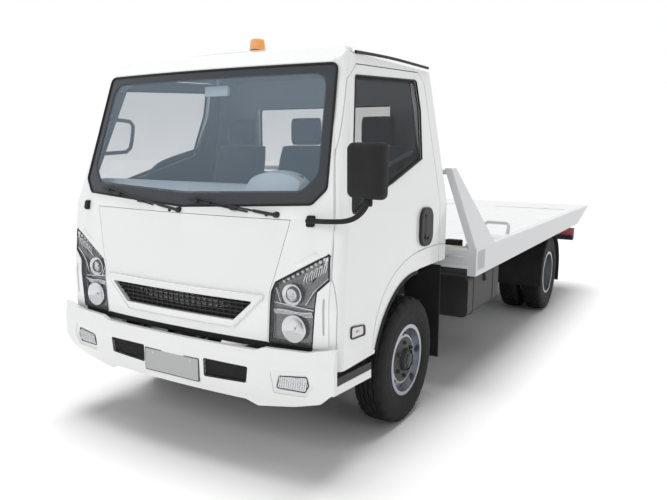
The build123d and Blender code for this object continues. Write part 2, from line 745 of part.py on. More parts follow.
with BuildPart() as cross_members:
    web_x = RAIL_OUT_X - RAIL_WALL
    for offset_y in (-500, 1050, 1500, 1950, 3750, 4150):
        y = FRONT_AXLE_Y + offset_y
        block(-web_x, web_x, y - 25, y + 25, 600, 680)
    block(-web_x, web_x, RAM_BASE_Y + 62, RAM_BASE_Y + 120, 530, 620)
    for ear_x in (-RAM_X, RAM_X):
        for shift in (-EYE_HALF_W - SEAT_FIT - PLATE, EYE_HALF_W + SEAT_FIT):
            block(ear_x + shift, ear_x + shift + PLATE, RAM_BASE_Y, RAM_BASE_Y + 62, 472, 560)
            rod_x(ear_x + shift, ear_x + shift + PLATE, RAM_BASE_Y, RAM_BASE_Z, RAM_EYE_R)
        rod_x(ear_x - EYE_HALF_W - PLATE, ear_x + EYE_HALF_W + PLATE, RAM_BASE_Y, RAM_BASE_Z, PIN_R)

with BuildPart() as hinge_brackets:
    for side in (-1, 1):
        add(prism_x(
            (
                (HINGE_Y + 30, 575),
                (HINGE_Y - 26, HINGE_Z - 10),
                (HINGE_Y - 26, HINGE_Z + 10),
                (HINGE_Y + 26, HINGE_Z + 10),
                (HINGE_Y + 260, 640),
                (HINGE_Y + 260, 575),
            ),
            side * RAIL_OUT_X, side * (RAIL_OUT_X + PLATE)))
        rod_x(side * RAIL_OUT_X, side * (RAIL_OUT_X + PLATE), HINGE_Y, HINGE_Z, 26)
        rod_x(side * RAIL_OUT_X, side * EAR_OUT_X, HINGE_Y, HINGE_Z, PIN_R)

    for side in (-1, 1):
        add(prism_x(
            (
                (TILT_HINGE_Y - 180, 560),
                (TILT_HINGE_Y - 180, 680),
                (TILT_HINGE_Y - 20, TILT_HINGE_Z + 26),
                (TILT_HINGE_Y + 20, TILT_HINGE_Z + 26),
                (TILT_HINGE_Y + 28, TILT_HINGE_Z - 10),
                (TILT_HINGE_Y - 50, 560),
            ),
            side * RAIL_OUT_X, side * (RAIL_OUT_X + PLATE)))
        rod_x(side * (SUB_OUT_X - 30), side * (RAIL_OUT_X + PLATE), TILT_HINGE_Y, TILT_HINGE_Z, PIN_R)

with BuildPart() as front_axle:
    add(prism_y(
        (
            (-744, 350), (-560, 350), (-480, 315), (480, 315), (560, 350), (744, 350),
            (744, 428), (600, 428), (500, 390), (-500, 390), (-600, 428), (-744, 428),
        ),
        FRONT_AXLE_Y - 32, FRONT_AXLE_Y + 32))
    for side in (-1, 1):
        rod_z(side * KINGPIN_X, FRONT_AXLE_Y, 345, 433, 33)
        rod_z(side * KINGPIN_X, FRONT_AXLE_Y, 345, 433, KINGPIN_R + PIN_FIT, mode=Mode.SUBTRACT)
        block(side * 350, side * 410, FRONT_AXLE_Y - 45, FRONT_AXLE_Y + 45, 385, SPRING_SEAT_FRONT_Z)

with BuildPart() as knuckle_left:
    for low, high in ((308, 338), (440, 470)):
        rod_z(KINGPIN_X, FRONT_AXLE_Y, low, high, 33)
        block(KINGPIN_X, KINGPIN_X + 38, FRONT_AXLE_Y - 33, FRONT_AXLE_Y + 33, low, high)
    rod_z(KINGPIN_X, FRONT_AXLE_Y, 308, 470, KINGPIN_R)
    block(KINGPIN_X + 38, KINGPIN_X + 50, FRONT_AXLE_Y - 40, FRONT_AXLE_Y + 40, 308, 470)
    rod_x(KINGPIN_X + 50, FRONT_TRACK_X + 58, FRONT_AXLE_Y, AXLE_Z, SPINDLE_R)

with BuildPart() as knuckle_right:
    add(knuckle_left.part.mirror(Plane.YZ))

with BuildPart() as rear_axle:
    rod_x(-700, 700, REAR_AXLE_Y, AXLE_Z, 48)
    rod_x(-880, 880, REAR_AXLE_Y, AXLE_Z, SPINDLE_R)
    rod_x(-110, 110, REAR_AXLE_Y, AXLE_Z, 150)
    for side in (-1, 1):
        block(side * 350, side * 410, REAR_AXLE_Y - 50, REAR_AXLE_Y + 50, AXLE_Z, SPRING_SEAT_REAR_Z)


def leaf_spring(y, seat_z, half_length, eye_z):
    """Pair of leaf springs that sit on an axle and hang from the rails."""
    with BuildPart() as made:
        with BuildSketch(Plane.YZ.offset(RAIL_IN_X)):
            with BuildLine():
                ThreePointArc((y - half_length, eye_z), (y, seat_z), (y + half_length, eye_z))
                Line((y + half_length, eye_z), (y + half_length, eye_z + 14))
                ThreePointArc((y + half_length, eye_z + 14), (y, seat_z + 42), (y - half_length, eye_z + 14))
                Line((y - half_length, eye_z + 14), (y - half_length, eye_z))
            make_face()
        extrude(amount=RAIL_FLANGE)
        for end in (-1, 1):
            y_end = y + end * half_length
            rod_x(RAIL_IN_X, RAIL_OUT_X, y_end, eye_z + 7, 20)
            block(RAIL_IN_X, RAIL_OUT_X, y_end - 25, y_end + 25, eye_z + 7, RAIL_BOTTOM_Z)
        mirror(about=Plane.YZ)
    return made.part


with BuildPart() as leaf_springs:
    add(leaf_spring(FRONT_AXLE_Y, SPRING_SEAT_FRONT_Z, 560, 470))
    add(leaf_spring(REAR_AXLE_Y, SPRING_SEAT_REAR_Z, 640, 470))

with BuildPart() as engine:
    block(-260, 260, FRONT_AXLE_Y - 150, FRONT_AXLE_Y + 550, 470, 860)
    block(-140, 140, FRONT_AXLE_Y + 550, FRONT_AXLE_Y + 980, 440, 590)
    for side in (-1, 1):
        block(side * 260, side * (RAIL_OUT_X - RAIL_WALL), FRONT_AXLE_Y + 150, FRONT_AXLE_Y + 230, 560, 640)

with BuildPart() as drive_shaft:
    shaft_start = Vector(0, FRONT_AXLE_Y + 980, 505)
    shaft_end = Vector(0, REAR_AXLE_Y - 140, AXLE_Z + 5)
    with BuildSketch(Plane(shaft_start, z_dir=shaft_end - shaft_start)):
        Circle(32)
    extrude(amount=(shaft_end - shaft_start).length)
    add(rear_axle.part, mode=Mode.SUBTRACT)
    add(engine.part, mode=Mode.SUBTRACT)

with BuildPart() as fuel_tank:
    block(540, 900, FRONT_AXLE_Y + 1250, FRONT_AXLE_Y + 2060, 355, 680)
    fillet(fuel_tank.edges().filter_by(Axis.Y), 45)
    for offset_y in (1380, 1900):
        block(RAIL_OUT_X, 560, FRONT_AXLE_Y + offset_y, FRONT_AXLE_Y + offset_y + 50, 560, 640)

with BuildPart() as battery_box:
    block(-880, -540, FRONT_AXLE_Y + 1250, FRONT_AXLE_Y + 1800, 420, 680)
    for offset_y in (1330, 1680):
        block(-560, -RAIL_OUT_X, FRONT_AXLE_Y + offset_y, FRONT_AXLE_Y + offset_y + 50, 560, 640)

with BuildPart() as mudguards:
    with BuildSketch(Plane.YZ.offset(GUARD_IN_X)):
        with Locations((REAR_AXLE_Y, AXLE_Z)):
            Circle(GUARD_R + 6)
            Circle(GUARD_R, mode=Mode.SUBTRACT)
        with Locations((REAR_AXLE_Y, AXLE_Z - GUARD_R)):
            Rectangle(3 * GUARD_R, 2 * GUARD_R - 160, mode=Mode.SUBTRACT)
    extrude(amount=GUARD_OUT_X - GUARD_IN_X)
    block(GUARD_IN_X + 40, GUARD_OUT_X, REAR_AXLE_Y + GUARD_R - 2, REAR_AXLE_Y + GUARD_R + 6, 240, 330)
    block(RAIL_OUT_X, GUARD_IN_X + 40, REAR_AXLE_Y - 25, REAR_AXLE_Y + 25, 630, 680)
    block(GUARD_IN_X, GUARD_IN_X + 40, REAR_AXLE_Y - 25, REAR_AXLE_Y + 25, 630, AXLE_Z + GUARD_R + 3)
    block(690, 950, FRONT_AXLE_Y + 512, FRONT_AXLE_Y + 520, 260, 900)
    block(RAIL_OUT_X, 700, FRONT_AXLE_Y + 512, FRONT_AXLE_Y + 545, 600, 650)
    mirror(about=Plane.YZ)

with BuildPart() as rear_lamp_bar:
    bar_y = FRONT_AXLE_Y + 4460
    block(-1080, 1080, bar_y, bar_y + 40, 600, 650)
    for side in (-1, 1):
        block(side * RAIL_IN_X, side * (RAIL_OUT_X - RAIL_WALL), RAIL_REAR_Y, bar_y, 560, 640)

with BuildPart() as rear_lamps:
    block(870, 1076, bar_y + 40, bar_y + 100, 605, 735)
    mirror(about=Plane.YZ)


# Wheels
def wheel_ring(points, x_mid, y, side):
    """Closed outline (offset outwards along the axle, radius) turned about the axle."""
    with BuildPart() as made:
        with BuildSketch(Plane.XZ.offset(-y)):
            Polygon(*[(side * (x_mid + out), AXLE_Z + radius) for out, radius in points], align=None)
        revolve(axis=Axis((0, y, AXLE_Z), (1, 0, 0)))
    return made.part


TYRE_POINTS = (
    (-76, BEAD_R), (-82, RIM_FLANGE_R + 2), (-96, 262), (-98, 300), (-95, 340), (-86, 372), (-72, 385),
    (-40, TYRE_R), (40, TYRE_R), (72, 385), (86, 372), (95, 340), (98, 300), (96, 262),
    (82, RIM_FLANGE_R + 2), (76, BEAD_R),
)
FRONT_RIM_POINTS = (
    (-86, 196), (-86, RIM_FLANGE_R), (-82, RIM_FLANGE_R), (-76, BEAD_R), (76, BEAD_R),
    (82, RIM_FLANGE_R), (86, RIM_FLANGE_R), (86, 196), (34, 196), (62, 150), (62, 58), (54, 58),
    (54, 146), (22, 196),
)
REAR_RIM_POINTS = (
    (-86, 196), (-86, RIM_FLANGE_R), (-82, RIM_FLANGE_R), (-76, BEAD_R), (76, BEAD_R),
    (82, RIM_FLANGE_R), (86, RIM_FLANGE_R), (86, 196), (-52, 196), (-110, 150), (-110, 58),
    (-118, 58), (-118, 154), (-74, 196),
)
FRONT_HUB_POINTS = (
    (-34, SPINDLE_R + PIN_FIT), (-34, 62), (44, 62), (44, 132), (-34, 132), (-34, 144), (54, 144),
    (54, 58), (90, 58), (98, 50), (98, 0), (62, 0), (62, SPINDLE_R + PIN_FIT),
)
REAR_HUB_POINTS = (
    (-140, SPINDLE_R + PIN_FIT), (-140, 62), (-18, 62), (-18, 150), (-140, 150), (-140, 162),
    (-8, 162), (-8, 58), (105, 58), (115, 48), (115, 0), (40, 0), (40, SPINDLE_R + PIN_FIT),
)
HAND_HOLES = 8
HAND_HOLE_R = 17


def rim_with_holes(points, x_mid, y, side):
    """Wheel rim with round hand holes through its disc."""
    with BuildPart() as made:
        add(wheel_ring(points, x_mid, y, side))
        with Locations(Location((side * x_mid, y, AXLE_Z), (0, 90, 0))):
            with PolarLocations(166, HAND_HOLES):
                Cylinder(HAND_HOLE_R, 260, mode=Mode.SUBTRACT)
    return made.part


def twin(ring):
    """Both wheels of a rear pair, made alike about the plane between them."""
    inner_plane = Plane.YZ.offset(TWIN_MID_X * (1 if ring.center().X > 0 else -1))
    return ring.mirror(inner_plane)


TWIN_OUT_X = TWIN_MID_X + TWIN_SPACING / 2

with BuildPart() as tyre_front_left:
    add(wheel_ring(TYRE_POINTS, FRONT_TRACK_X, FRONT_AXLE_Y, 1))
with BuildPart() as rim_front_left:
    add(rim_with_holes(FRONT_RIM_POINTS, FRONT_TRACK_X, FRONT_AXLE_Y, 1))
with BuildPart() as hub_front_left:
    add(wheel_ring(FRONT_HUB_POINTS, FRONT_TRACK_X, FRONT_AXLE_Y, 1))
with BuildPart() as tyres_rear_left:
    add(wheel_ring(TYRE_POINTS, TWIN_OUT_X, REAR_AXLE_Y, 1))
    add(twin(tyres_rear_left.part))
with BuildPart() as rims_rear_left:
    add(rim_with_holes(REAR_RIM_POINTS, TWIN_OUT_X, REAR_AXLE_Y, 1))
    add(twin(rims_rear_left.part))
    add(wheel_ring(REAR_HUB_POINTS, TWIN_MID_X, REAR_AXLE_Y, 1))

with BuildPart() as tyre_front_right:
    add(tyre_front_left.part.mirror(Plane.YZ))
with BuildPart() as rim_front_right:
    add(rim_front_left.part.mirror(Plane.YZ))
with BuildPart() as hub_front_right:
    add(hub_front_left.part.mirror(Plane.YZ))
with BuildPart() as tyres_rear_right:
    add(tyres_rear_left.part.mirror(Plane.YZ))
with BuildPart() as rims_rear_right:
    add(rims_rear_left.part.mirror(Plane.YZ))


# Bed
with BuildPart() as deck:
    inner_x = BED_HALF_W - BED_RAIL_W
    plate_y = BED_FRONT_Y + HEAD_BEAM_W
    block(-inner_x, inner_x, plate_y, WEDGE_Y, DECK_TOP_Z - DECK_PLATE, DECK_TOP_Z)
    beam_count = 9
    for number in range(beam_count):
        y = plate_y + 20 + number * (WEDGE_Y - plate_y - 60) / (beam_count - 1)
        block(-inner_x, inner_x, y - 20, y + 20, DECK_TOP_Z - DECK_PLATE - DECK_BEAM, DECK_TOP_Z - DECK_PLATE)
    for side in (-1, 1):
        add(prism_x(
            (
                (plate_y, RUNNER_BOTTOM_Z),
                (RUNNER_END_Y, RUNNER_BOTTOM_Z),
                (WEDGE_Y, slope_z(WEDGE_Y)),
                (WEDGE_Y, DECK_TOP_Z - DECK_PLATE),
                (plate_y, DECK_TOP_Z - DECK_PLATE),
            ),
            side * RAIL_IN_X, side * RAIL_OUT_X))
    add(prism_x(
        (
            (WEDGE_Y, slope_z(WEDGE_Y)),
            (WEDGE_Y, DECK_TOP_Z),
            (REAR_END_Y - 8, slope_z(REAR_END_Y) + 6),
            (REAR_END_Y, slope_z(REAR_END_Y)),
        ),
        -inner_x, inner_x))
    block(-60, 60, SLIDE_ANCHOR_Y, SLIDE_ANCHOR_Y + 40, SLIDE_AXIS_Z - SLIDE_ROD_R, DECK_TOP_Z - DECK_PLATE)

with BuildPart() as post:
    with BuildSketch(Plane.XY.offset(BED_RAIL_TOP_Z - 5)):
        with Locations((BED_HALF_W - 28, BED_FRONT_Y + 215)):
            Rectangle(50, 430)
    with BuildSketch(Plane.XY.offset(POST_TOP_Z)):
        with Locations((POST_TOP_X - 25, BED_FRONT_Y + 45)):
            Rectangle(50, 90)
    loft(ruled=True)

with BuildPart() as side_rails:
    add(prism_x(
        (
            (BED_FRONT_Y, BED_RAIL_BOTTOM_Z),
            (TAIL_SLOPE_Y, BED_RAIL_BOTTOM_Z),
            (REAR_END_Y, slope_z(REAR_END_Y)),
            (REAR_END_Y, slope_z(REAR_END_Y) + 8),
            (BED_FRONT_Y + 500, BED_RAIL_TOP_Z),
            (BED_FRONT_Y, BED_RAIL_TOP_Z),
        ),
        BED_HALF_W - BED_RAIL_W, BED_HALF_W))
    add(post.part)
    mirror(about=Plane.YZ)

with BuildPart() as headboard:
    block(-inner_x, inner_x, BED_FRONT_Y, BED_FRONT_Y + HEAD_BEAM_W, 865, 1010)
    rod_x(-920, 920, BED_FRONT_Y + 45, POST_TOP_Z - 26, 18)
    block(-40, 40, BED_FRONT_Y, BED_FRONT_Y + HEAD_BEAM_W, 1010, POST_TOP_Z - 26)
    add(side_rails.part, mode=Mode.SUBTRACT)

with BuildPart() as winch:
    winch_y = BED_FRONT_Y + 260
    block(-260, 260, winch_y - 110, winch_y + 110, DECK_TOP_Z, DECK_TOP_Z + 12)
    for side in (-1, 1):
        block(side * 190, side * 215, winch_y - 80, winch_y + 80, DECK_TOP_Z + 12, DECK_TOP_Z + 180)
    rod_x(-190, -350, winch_y, DECK_TOP_Z + 100, 55)
    for side in (-1, 1):
        rod_x(side * 185, side * 220, winch_y, DECK_TOP_Z + 100, 20 + PIN_FIT, mode=Mode.SUBTRACT)

with BuildPart() as winch_drum:
    rod_x(-180, 180, winch_y, DECK_TOP_Z + 100, 45)
    rod_x(-213, 213, winch_y, DECK_TOP_Z + 100, 20)
    for side in (-1, 1):
        rod_x(side * 168, side * 180, winch_y, DECK_TOP_Z + 100, 78)

with BuildPart() as wheel_stops:
    stop_y = FRONT_AXLE_Y + 1770
    add(tube_path(
        (
            (850, stop_y - 60, DECK_TOP_Z),
            (850, stop_y, DECK_TOP_Z + 110),
            (1055, stop_y, DECK_TOP_Z + 110),
            (1055, stop_y - 60, DECK_TOP_Z),
        ),
        35, 14))
    mirror(about=Plane.YZ)
    add(deck.part, mode=Mode.SUBTRACT)

with BuildPart() as slide_rod:
    rod_y(0, SLIDE_BARREL_FRONT_Y + 60, SLIDE_ANCHOR_Y, SLIDE_AXIS_Z, SLIDE_ROD_R)


# Tilting subframe with the slide cylinder, and the two lift cylinders
with BuildPart() as subframe:
    with BuildSketch(Plane.XZ.offset(-SUB_FRONT_Y)):
        Polygon(
            (RAIL_IN_X, SUB_BOTTOM_Z),
            (SUB_OUT_X, SUB_BOTTOM_Z),
            (SUB_OUT_X, SUB_TOP_Z),
            (RAIL_IN_X, SUB_TOP_Z),
            (RAIL_IN_X, SUB_TOP_Z - RAIL_WALL),
            (SUB_OUT_X - RAIL_WALL, SUB_TOP_Z - RAIL_WALL),
            (SUB_OUT_X - RAIL_WALL, SUB_BOTTOM_Z + RAIL_WALL),
            (RAIL_IN_X, SUB_BOTTOM_Z + RAIL_WALL),
            align=None,
        )
    extrude(amount=SUB_FRONT_Y - SUB_REAR_Y)
    for side in (-1, 1):
        block(side * (SUB_OUT_X - 24), side * SUB_OUT_X, TILT_HINGE_Y - 32, TILT_HINGE_Y + 32, TILT_HINGE_Z,
              SUB_BOTTOM_Z + 40)
        rod_x(side * (SUB_OUT_X - 24), side * SUB_OUT_X, TILT_HINGE_Y, TILT_HINGE_Z, 32)
    mirror(about=Plane.YZ)
    for side in (-1, 1):
        rod_x(side * (SUB_OUT_X - 30), side * SUB_OUT_X, TILT_HINGE_Y, TILT_HINGE_Z, PIN_R + PIN_FIT,
              mode=Mode.SUBTRACT)
    for y in (SUB_FRONT_Y + 80, RAM_EYE_Y - 90, RAM_BASE_Y + 100, SLIDE_BARREL_REAR_Y - 60):
        block(-SUB_OUT_X + 20, SUB_OUT_X - 20, y - 30, y + 30, SUB_BOTTOM_Z, SUB_TOP_Z)
    for ear_x in (-RAM_X, RAM_X):
        for shift in (-EYE_HALF_W - SEAT_FIT - PLATE, EYE_HALF_W + SEAT_FIT):
            block(ear_x + shift, ear_x + shift + PLATE, RAM_EYE_Y - 60, RAM_EYE_Y + RAM_EYE_R,
                  SUB_BOTTOM_Z, RAM_EYE_Z + 40)
    rod_y(0, SLIDE_BARREL_FRONT_Y, SLIDE_BARREL_REAR_Y, SLIDE_AXIS_Z, SLIDE_BARREL_R, mode=Mode.SUBTRACT)

with BuildPart() as slide_barrel:
    rod_y(0, SLIDE_BARREL_FRONT_Y, SLIDE_BARREL_REAR_Y, SLIDE_AXIS_Z, SLIDE_BARREL_R)
    rod_y(0, SLIDE_BARREL_FRONT_Y + 40, SLIDE_BARREL_REAR_Y + 1, SLIDE_AXIS_Z, SLIDE_ROD_R + SEAT_FIT,
          mode=Mode.SUBTRACT)

RAM_LENGTH = sqrt((RAM_BASE_Y - RAM_EYE_Y) ** 2 + (RAM_EYE_Z - RAM_BASE_Z) ** 2)


def ram_bar(x, near, far, radius):
    """Round bar along a lift cylinder, between two distances from its base eye."""
    base = Vector(x, RAM_BASE_Y, RAM_BASE_Z)
    along = Vector(0, RAM_EYE_Y - RAM_BASE_Y, RAM_EYE_Z - RAM_BASE_Z).normalized()
    with BuildPart() as made:
        with BuildSketch(Plane(base + along * near, z_dir=along)):
            Circle(radius)
        extrude(amount=far - near)
    return made.part


with BuildPart() as tilt_barrels:
    for ram_x in (-RAM_X, RAM_X):
        add(ram_bar(ram_x, 20, 560, RAM_R))
        add(ram_bar(ram_x, 90, 561, RAM_ROD_R + SEAT_FIT), mode=Mode.SUBTRACT)
    for ram_x in (-RAM_X, RAM_X):
        block(ram_x - RAM_R - 1, ram_x - EYE_HALF_W, RAM_BASE_Y - 45, RAM_BASE_Y + 40, RAM_BASE_Z - 60,
              RAM_BASE_Z + 62, mode=Mode.SUBTRACT)
        block(ram_x + EYE_HALF_W, ram_x + RAM_R + 1, RAM_BASE_Y - 45, RAM_BASE_Y + 40, RAM_BASE_Z - 60,
              RAM_BASE_Z + 62, mode=Mode.SUBTRACT)
        rod_x(ram_x - EYE_HALF_W, ram_x + EYE_HALF_W, RAM_BASE_Y, RAM_BASE_Z, RAM_EYE_R)
        rod_x(ram_x - EYE_HALF_W, ram_x + EYE_HALF_W, RAM_BASE_Y, RAM_BASE_Z, PIN_R + PIN_FIT, mode=Mode.SUBTRACT)

with BuildPart() as tilt_rods:
    for ram_x in (-RAM_X, RAM_X):
        add(ram_bar(ram_x, 100, RAM_LENGTH - 15, RAM_ROD_R))
        rod_x(ram_x - EYE_HALF_W, ram_x + EYE_HALF_W, RAM_EYE_Y, RAM_EYE_Z, RAM_EYE_R)


PIECES = {
    "cab_shell": cab_shell,
    "door_left": door_left,
    "door_right": door_right,
    "door_glass_left": door_glass_left,
    "door_glass_right": door_glass_right,
    "handle_left": handle_left,
    "handle_right": handle_right,
    "windscreen": windscreen,
    "rear_window": rear_window,
    "front_panel": front_panel,
    "grille": grille,
    "headlamps": headlamps,
    "front_bumper": front_bumper,
    "fog_lamps": fog_lamps,
    "side_sills": side_sills,
    "steps": steps,
    "roof_lamps": roof_lamps,
    "wipers": wipers,
    "mirrors": mirrors,
    "intake_duct": intake_duct,
    "seats": seats,
    "dashboard": dashboard,
    "steering_wheel": steering_wheel,
    "frame_rails": frame_rails,
    "cross_members": cross_members,
    "hinge_brackets": hinge_brackets,
    "front_axle": front_axle,
    "knuckle_left": knuckle_left,
    "knuckle_right": knuckle_right,
    "rear_axle": rear_axle,
    "leaf_springs": leaf_springs,
    "engine": engine,
    "drive_shaft": drive_shaft,
    "fuel_tank": fuel_tank,
    "battery_box": battery_box,
    "mudguards": mudguards,
    "rear_lamp_bar": rear_lamp_bar,
    "rear_lamps": rear_lamps,
    "tyre_front_left": tyre_front_left,
    "tyre_front_right": tyre_front_right,
    "tyres_rear_left": tyres_rear_left,
    "tyres_rear_right": tyres_rear_right,
    "rim_front_left": rim_front_left,
    "rim_front_right": rim_front_right,
    "rims_rear_left": rims_rear_left,
    "rims_rear_right": rims_rear_right,
    "hub_front_left": hub_front_left,
    "hub_front_right": hub_front_right,
    "deck": deck,
    "side_rails": side_rails,
    "headboard": headboard,
    "winch": winch,
    "winch_drum": winch_drum,
    "wheel_stops": wheel_stops,
    "slide_rod": slide_rod,
    "subframe": subframe,
    "slide_barrel": slide_barrel,
    "tilt_barrels": tilt_barrels,
    "tilt_rods": tilt_rods,
}
for label, piece in PIECES.items():
    piece.part.label = label
    export_step(piece.part, f"parts/{label}.step")
    print(label, len(piece.solids()), round(piece.part.volume / 1e6, 2), piece.part.is_valid)
print(len(PIECES), "pieces")
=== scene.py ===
"""Looks of a cab-over flatbed tow truck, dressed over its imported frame."""

import logging
from dataclasses import dataclass, field
from enum import Enum
from functools import partialmethod
from math import atan2, ceil, copysign, cos, dist, exp, pi, radians, sin, sqrt, tan, tau
from typing import Any, Callable, Iterable, Optional, Sequence, Union

import bmesh
import bpy
from mathutils import Matrix, Vector

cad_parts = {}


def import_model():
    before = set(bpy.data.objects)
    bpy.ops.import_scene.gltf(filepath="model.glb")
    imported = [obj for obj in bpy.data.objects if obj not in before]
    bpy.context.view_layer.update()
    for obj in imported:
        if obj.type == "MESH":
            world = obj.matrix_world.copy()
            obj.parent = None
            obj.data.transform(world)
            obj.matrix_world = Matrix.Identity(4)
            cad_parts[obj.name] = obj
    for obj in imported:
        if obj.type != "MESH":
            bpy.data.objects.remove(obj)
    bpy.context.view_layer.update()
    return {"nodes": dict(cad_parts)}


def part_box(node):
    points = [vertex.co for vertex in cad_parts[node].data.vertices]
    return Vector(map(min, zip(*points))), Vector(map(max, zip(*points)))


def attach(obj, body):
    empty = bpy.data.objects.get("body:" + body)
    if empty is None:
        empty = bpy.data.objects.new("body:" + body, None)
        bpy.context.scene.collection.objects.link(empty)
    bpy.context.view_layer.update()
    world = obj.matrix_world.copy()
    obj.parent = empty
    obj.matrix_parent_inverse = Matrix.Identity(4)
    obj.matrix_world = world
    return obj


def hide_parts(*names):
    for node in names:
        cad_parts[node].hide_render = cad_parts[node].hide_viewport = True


log = logging.getLogger("tow_truck")

Point = tuple[float, float, float]
Flat = tuple[float, float]
Colour = tuple[float, float, float]
Number = Union[int, float]
Line = Sequence[Sequence[float]]
Lay = Callable[[float, float], Point]

FRONT_AXLE_Y = -1.965
REAR_AXLE_Y = 1.400
AXLE_Z = 0.389
FRONT_TYRE_X = 0.864
REAR_TYRES_X = (0.726, 0.962)
FRONT_END_Y = -2.990
CAB_FRONT_Y = FRONT_END_Y + 0.053
CAB_REAR_Y = FRONT_AXLE_Y + 0.550
BEND_R = 6.700
BEND_AXIS_Y = CAB_FRONT_Y + BEND_R
NOSE_Z = 0.900
NOSE_LEAN = 0.046
WAIST_Z = 1.325
SCREEN_FOOT_Y = FRONT_AXLE_Y - 0.926
SCREEN_TOP_Y = FRONT_AXLE_Y - 0.683
SCREEN_TOP_Z = 2.105
EAVE_Z = 2.156
EAVE_X = 0.837
ROOF_Z = 2.243
CAB_HALF_W = 0.985
PHOTO_WIDTH = 667


class Side(Enum):
    """The truck's left and right sides, as the sign of X."""

    LEFT = 1
    RIGHT = -1

    @property
    def word(self) -> str:
        """The side as the pieces' names have it."""
        return self.name.lower()


# Shader maths


class Signal:
    """A socket that carries a number or a colour, with arithmetic written as Python."""

    def __init__(self, sheet: "Sheet", socket: bpy.types.NodeSocket) -> None:
        """Wraps a socket of the sheet's node tree."""
        self.sheet = sheet
        self.socket = socket

    def _math(self, operation: str, *values: Any) -> "Signal":
        """Adds a Math node and gives its result."""
        made = self.sheet.node("ShaderNodeMath", {"operation": operation}, dict(enumerate(values)))
        return Signal(self.sheet, made.outputs[0])

    def _pair(self, operation: str, other: Any, swapped: bool = False) -> "Signal":
        """Joins this and the other by a Math node, the other one first where swapped."""
        return self._math(operation, *((other, self) if swapped else (self, other)))

    __add__ = partialmethod(_pair, "ADD")
    __radd__ = partialmethod(_pair, "ADD", swapped=True)
    __sub__ = partialmethod(_pair, "SUBTRACT")
    __rsub__ = partialmethod(_pair, "SUBTRACT", swapped=True)
    __mul__ = partialmethod(_pair, "MULTIPLY")
    __rmul__ = partialmethod(_pair, "MULTIPLY", swapped=True)
    __truediv__ = partialmethod(_pair, "DIVIDE")
    __pow__ = partialmethod(_pair, "POWER")
    __gt__ = partialmethod(_pair, "GREATER_THAN")
    __lt__ = partialmethod(_pair, "LESS_THAN")
    most = partialmethod(_pair, "MAXIMUM")

    def size(self) -> "Signal":
        """The value without its sign."""
        return self._math("ABSOLUTE", self)

    def wave(self) -> "Signal":
        """Sine of the value."""
        return self._math("SINE", self)

    def rise(self, low: Number, high: Number, start: Number = 0.0, end: Number = 1.0) -> "Signal":
        """Maps the range low to high smoothly onto start to end."""
        made = self.sheet.node(
            "ShaderNodeMapRange", {"interpolation_type": "SMOOTHSTEP"},
            {"Value": self, "From Min": low, "From Max": high, "To Min": start, "To Max": end})
        return Signal(self.sheet, made.outputs[0])


